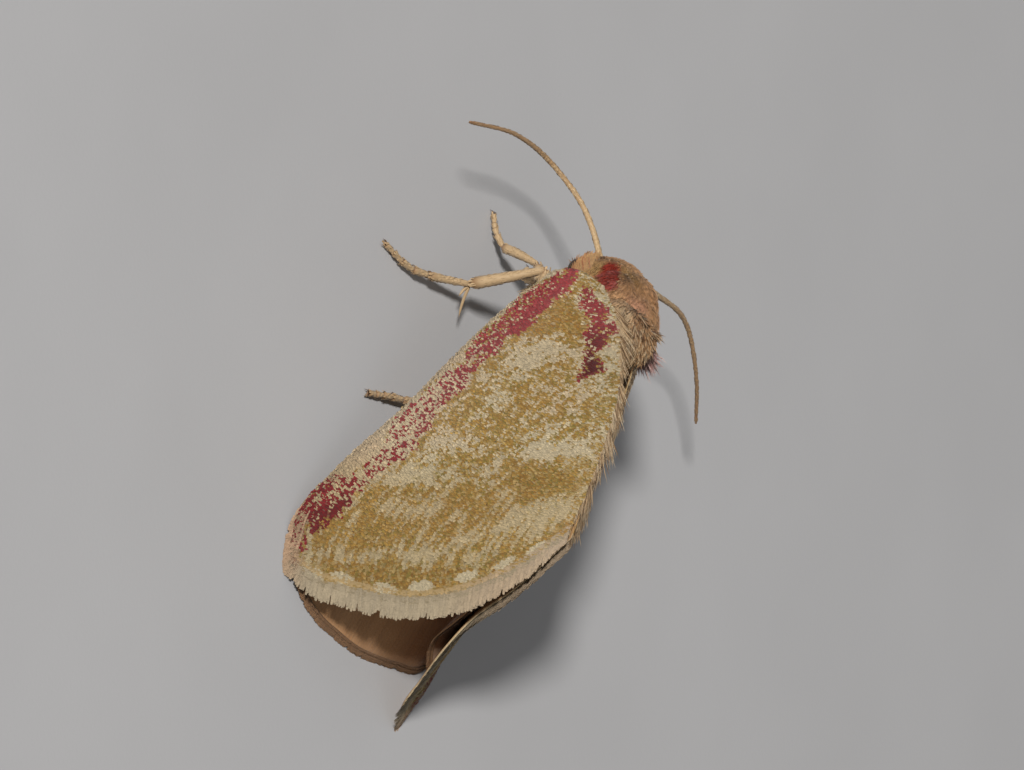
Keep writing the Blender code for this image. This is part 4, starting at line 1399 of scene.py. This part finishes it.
def leg_limb(kind, route, lines, side, label, material):
    tubes, joints = [], []
    for line, radii, share in lines:
        tubes.append(swept(mirrored(line, side), radii, LEG_SIDES))
        joints.append(np.repeat(ease(0.82, 0.98, share) + (1 - ease(0.0, 0.08, share)), LEG_SIDES))
    knee = mirrored(route[2], side)
    for offset in LEG_SPURS[kind]:
        share = np.linspace(0, 1, 9)
        tip = knee + mirrored(offset, side)
        line = knee + share[:, None] * (tip - knee)
        line[:, 2] -= 0.04 * np.sin(np.pi * share)
        girth = 0.044 * np.interp(share, (0, 0.2, 0.7, 1), (0.8, 1, 0.75, 0.12))
        tubes.append(swept(line, girth, SPUR_SIDES))
        joints.append(np.repeat(0.55 * ease(0.75, 1.0, share), SPUR_SIDES))
    mesh = joined_tubes(f"{kind}_leg_limb_{label}", tubes)
    set_floats(mesh, "joint", "FLOAT", np.concatenate(joints))
    limb = show(f"{kind}_leg_limb_{label}", mesh, material, "leg")
    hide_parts(f"{kind}_leg_{label}")


def leg_claws(kind, route, side, label, material):
    end, before = np.array(route[-1]), np.array(route[-2])
    way = unit(end - before)
    across = unit(np.cross(way, (0, 0, 1.0)))
    share = np.linspace(0, 1, 8)
    hooks = []
    for turn in (1, -1):
        line = end - 0.02 * way + share[:, None] * (0.12 * way + turn * 0.09 * across)
        line[:, 2] = np.maximum(line[:, 2] + (0.05 * np.sin(np.pi * share) - 0.04 * share), FOOT_CLEAR)
        hooks.append(swept(mirrored(line, side), 0.024 * (1 - 0.85 * share), CLAW_SIDES))
    name = f"{kind}_leg_claws_{label}"
    show(name, joined_tubes(name, hooks), material, "leg")


def leg_scales(kind, lines, side, label, seed):
    rng = np.random.default_rng(seed)
    rows = []
    for index, (line, radii, share) in enumerate(lines):
        length = np.linalg.norm(np.diff(line, axis=0), axis=1).sum()
        count = int(length * radii.mean() * 2 * math.pi / 0.006)
        at = rng.uniform(0.03, 0.97, count)
        centre = np.stack([np.interp(at, share, line[:, k]) for k in range(3)], 1)
        ways = np.gradient(line, axis=0)
        direction = unit(np.stack([np.interp(at, share, ways[:, k]) for k in range(3)], 1))
        around = unit(np.cross(direction, rng.normal(size=(count, 3))))
        girth = np.interp(at, share, radii)
        darker = 0.1 * rng.random(count) + 0.35 * (index > 1) * ease(0.85, 1.0, at)
        colour = blend_to(tinted(count, srgb(184, 158, 122)), srgb(168, 128, 86), darker)
        skin_place = np.stack([inset(at), (index + 0.1 + 0.8 * rng.random(count)) / len(lines)], 1)
        rows.append((centre + around * (0.99 * girth)[:, None], around, direction,
                     columns(count, 0.042, 0.11, 0.5), skin_place, colour))
    roots = joined_roots(rows, side)
    roots["place"][:, 2] = np.maximum(roots["place"][:, 2], FOOT_CLEAR)
    grow_coat(f"{kind}_leg_scales_{label}", roots, STRAP_BLADE, LIMB_SCALES, "leg",
              0.04, 0.02, 0.1, 0.2, seed)


def leg(kind, side, label, leg_skin, claw_skin, seed):
    route = LEG_ROUTES.get(f"{kind}_{label}", LEG_ROUTES[kind])
    lines = leg_lines(route, 0.82 if kind == "fore" else 1.0)
    leg_limb(kind, route, lines, side, label, leg_skin)
    leg_claws(kind, route, side, label, claw_skin)
    leg_scales(kind, lines, side, label, seed)


LIMB_SCALES = scale_finish("limb scales", 0.55, 0.15, -4.0, 0.0)
eyes()
ANTENNA_SKIN = antenna_finish()
antenna(ANTENNA_LEFT, "left", ANTENNA_SKIN, 91)
antenna(ANTENNA_RIGHT, "right", ANTENNA_SKIN, 92)
LEG_SKIN, CLAW_SKIN = leg_finish(), claw_finish()
for number, kind in enumerate(("fore", "mid", "hind")):
    leg(kind, 1, "left", LEG_SKIN, CLAW_SKIN, 101 + number)
    leg(kind, -1, "right", LEG_SKIN, CLAW_SKIN, 111 + number)


INNER_MARGIN = 0.955  # the share of a wing's width where its inner margin starts


def ridge_hair(sheet, side, label, seed):
    """Long hair off the wing's inner margin, lying back along the ridge and over it."""
    rng = np.random.default_rng(seed)
    count = 2600
    s = rng.beta(1.3, 1.5, count) * 0.9 + 0.03
    t = rng.uniform(INNER_MARGIN, 1.0, count)
    normal, rearward, upward = sheet_ways(sheet, s, t)
    tufts = rough_grain(np.stack([s * WING_LENGTH, t * 0], 1), (0.42, 1.0), seed)
    near_root = 1 - ease(0.14, 0.32, s)
    over = (0.1 + 0.5 * (tufts - 0.3) * (tufts > 0.62) + 0.35 * near_root)[:, None]
    lie = unit(rearward + over * (upward - 0.35 * normal) + 0.05 * rng.normal(size=(count, 3)))
    long = 0.34 + 0.3 * rng.random(count) + 0.25 * (tufts > 0.7) * ease(0.3, 0.6, s) + 0.2 * near_root
    colour = tinted(count, srgb(214, 184, 144))
    colour = blend_to(colour, srgb(124, 92, 62), 0.85 * (rng.random(count) > 0.58))
    colour = blend_to(colour, srgb(236, 218, 186), 0.7 * (rng.random(count) > 0.75))
    skin_place = np.stack([inset(s), inset((t - INNER_MARGIN) / (1 - INNER_MARGIN))], 1)
    row = (sheet(s, t) - 0.01 * normal, normal, lie, columns(count, 0.03, long, 0.03), skin_place, colour)
    grow_coat("ridge_hair_" + label, joined_roots([row], side), HAIR_BLADE, HAIR, "forewing_scales",
              0.05, 0.07, 0.1, 0.2, seed)


def shoulder_tuft(seed):
    """A loose tuft standing off the right shoulder: its short hairs dark plum, painted shade at its root,
    with long pink ends.
    """
    rng = np.random.default_rng(seed)
    count = 700
    long = rng.random(count) > 0.45
    spread = ((-0.95, -0.78), (0.14, 0.46), (4.24, 4.46))
    places = np.stack([rng.uniform(low, high, count) for low, high in spread], 1)
    lie = unit(np.array([-0.72, 0.53, 0.3]) + (0.12 + 0.1 * long)[:, None] * rng.normal(size=(count, 3)))
    # painted shade: the short hairs are dark plum, the shade at the tuft's root
    colour = blend_to(tinted(count, SHADE_PLUM), srgb(196, 140, 134), 0.9 * long)
    colour = blend_to(colour, srgb(226, 192, 182), 0.9 * long * (rng.random(count) > 0.5))
    length = np.where(long, 0.58, 0.3) * (0.75 + 0.5 * rng.random(count))
    roots = coat_roots(places, unit(np.cross(lie, rng.normal(size=(count, 3)))), lie,
                       columns(count, 0.034, length, 0.034), body_unwrap(places), colour)
    grow_coat("shoulder_tuft", roots, HAIR_BLADE, HAIR, "body_fur", 0.05, 0.07, 0.1, 0.2, seed)


ridge_hair(WINGS["left"], 1, "left", 121)
ridge_hair(WINGS["right"], -1, "right", 122)
shoulder_tuft(123)


for helper in [o for o in bpy.data.objects if o.name.endswith("_blade")]:
    bpy.data.objects.remove(helper, do_unlink=True)

# Floor, light and camera


def to_frame(point):
    return ORIGIN + Vector(point) * MM


def pale_floor():
    finish = Finish("pale floor", 0.6, specular=0.3)
    cloud = finish.noise(finish.place_mm(), 0.12, 3.0)
    fine = finish.noise(finish.place_mm(), 9.0, 3.0)
    finish.bump(fine, 0.01, 0.25)
    shaded = tuple(0.95 * c for c in FLOOR_TONE)
    material = finish.colour(finish.mix(finish.span(cloud, 0.3, 0.7), FLOOR_TONE, shaded))
    corners = [(FLOOR_HALF * x, FLOOR_HALF * y, 0) for x, y in ((-1, -1), (1, -1), (1, 1), (-1, 1))]
    mesh = new_mesh("floor", corners, [(0, 1, 2, 3)])
    mesh.materials.append(material)
    placed("floor", mesh)


def soft_light(name, direction, distance, size, power, tone):
    lamp = bpy.data.lights.new(name, "AREA")
    lamp.shape = "DISK"
    lamp.size = size
    lamp.energy = power
    lamp.color = tone
    obj = placed(name, lamp)
    way = Vector(direction).normalized()
    obj.location = to_frame(VIEW_CENTRE) + way * distance
    obj.rotation_euler = way.to_track_quat("Z", "Y").to_euler()


def photo_camera():
    lens = SENSOR * CAMERA_DISTANCE * PIXELS_PER_MM / IMAGE_WIDTH
    data = bpy.data.cameras.new("photo camera")
    data.sensor_width = SENSOR
    data.lens = lens
    data.clip_start = 0.01
    data.clip_end = 5.0
    camera = placed("photo camera", data)
    right, up = PHOTO_RIGHT.normalized(), PHOTO_UP.normalized()
    back = right.cross(up).normalized()
    up = back.cross(right)
    turn = Matrix((right, up, back)).transposed().to_4x4()
    camera.matrix_world = Matrix.Translation(to_frame(VIEW_CENTRE) + back * CAMERA_DISTANCE * MM) @ turn
    bpy.context.scene.camera = camera


FLOOR_TONE = srgb(190, 191, 194)
FLOOR_HALF = 0.6
WORLD_TONE, WORLD_STRENGTH = (0.98, 0.97, 0.96, 1.0), 0.16
pale_floor()
soft_light("key light", (1.43, 0.34, 1.0), distance=0.6, size=0.07, power=3.8, tone=(1.0, 0.965, 0.92))
soft_light("fill light", (0.3, 0.8, 1.4), distance=0.7, size=0.7, power=0.3, tone=(1.0, 0.98, 0.95))
world = bpy.data.worlds.new("studio")
world.use_nodes = True
world.node_tree.nodes["Background"].inputs["Color"].default_value = WORLD_TONE
world.node_tree.nodes["Background"].inputs["Strength"].default_value = WORLD_STRENGTH
bpy.context.scene.world = world
bpy.context.scene.view_settings.view_transform = "Standard"
photo_camera()

bpy.context.view_layer.update()
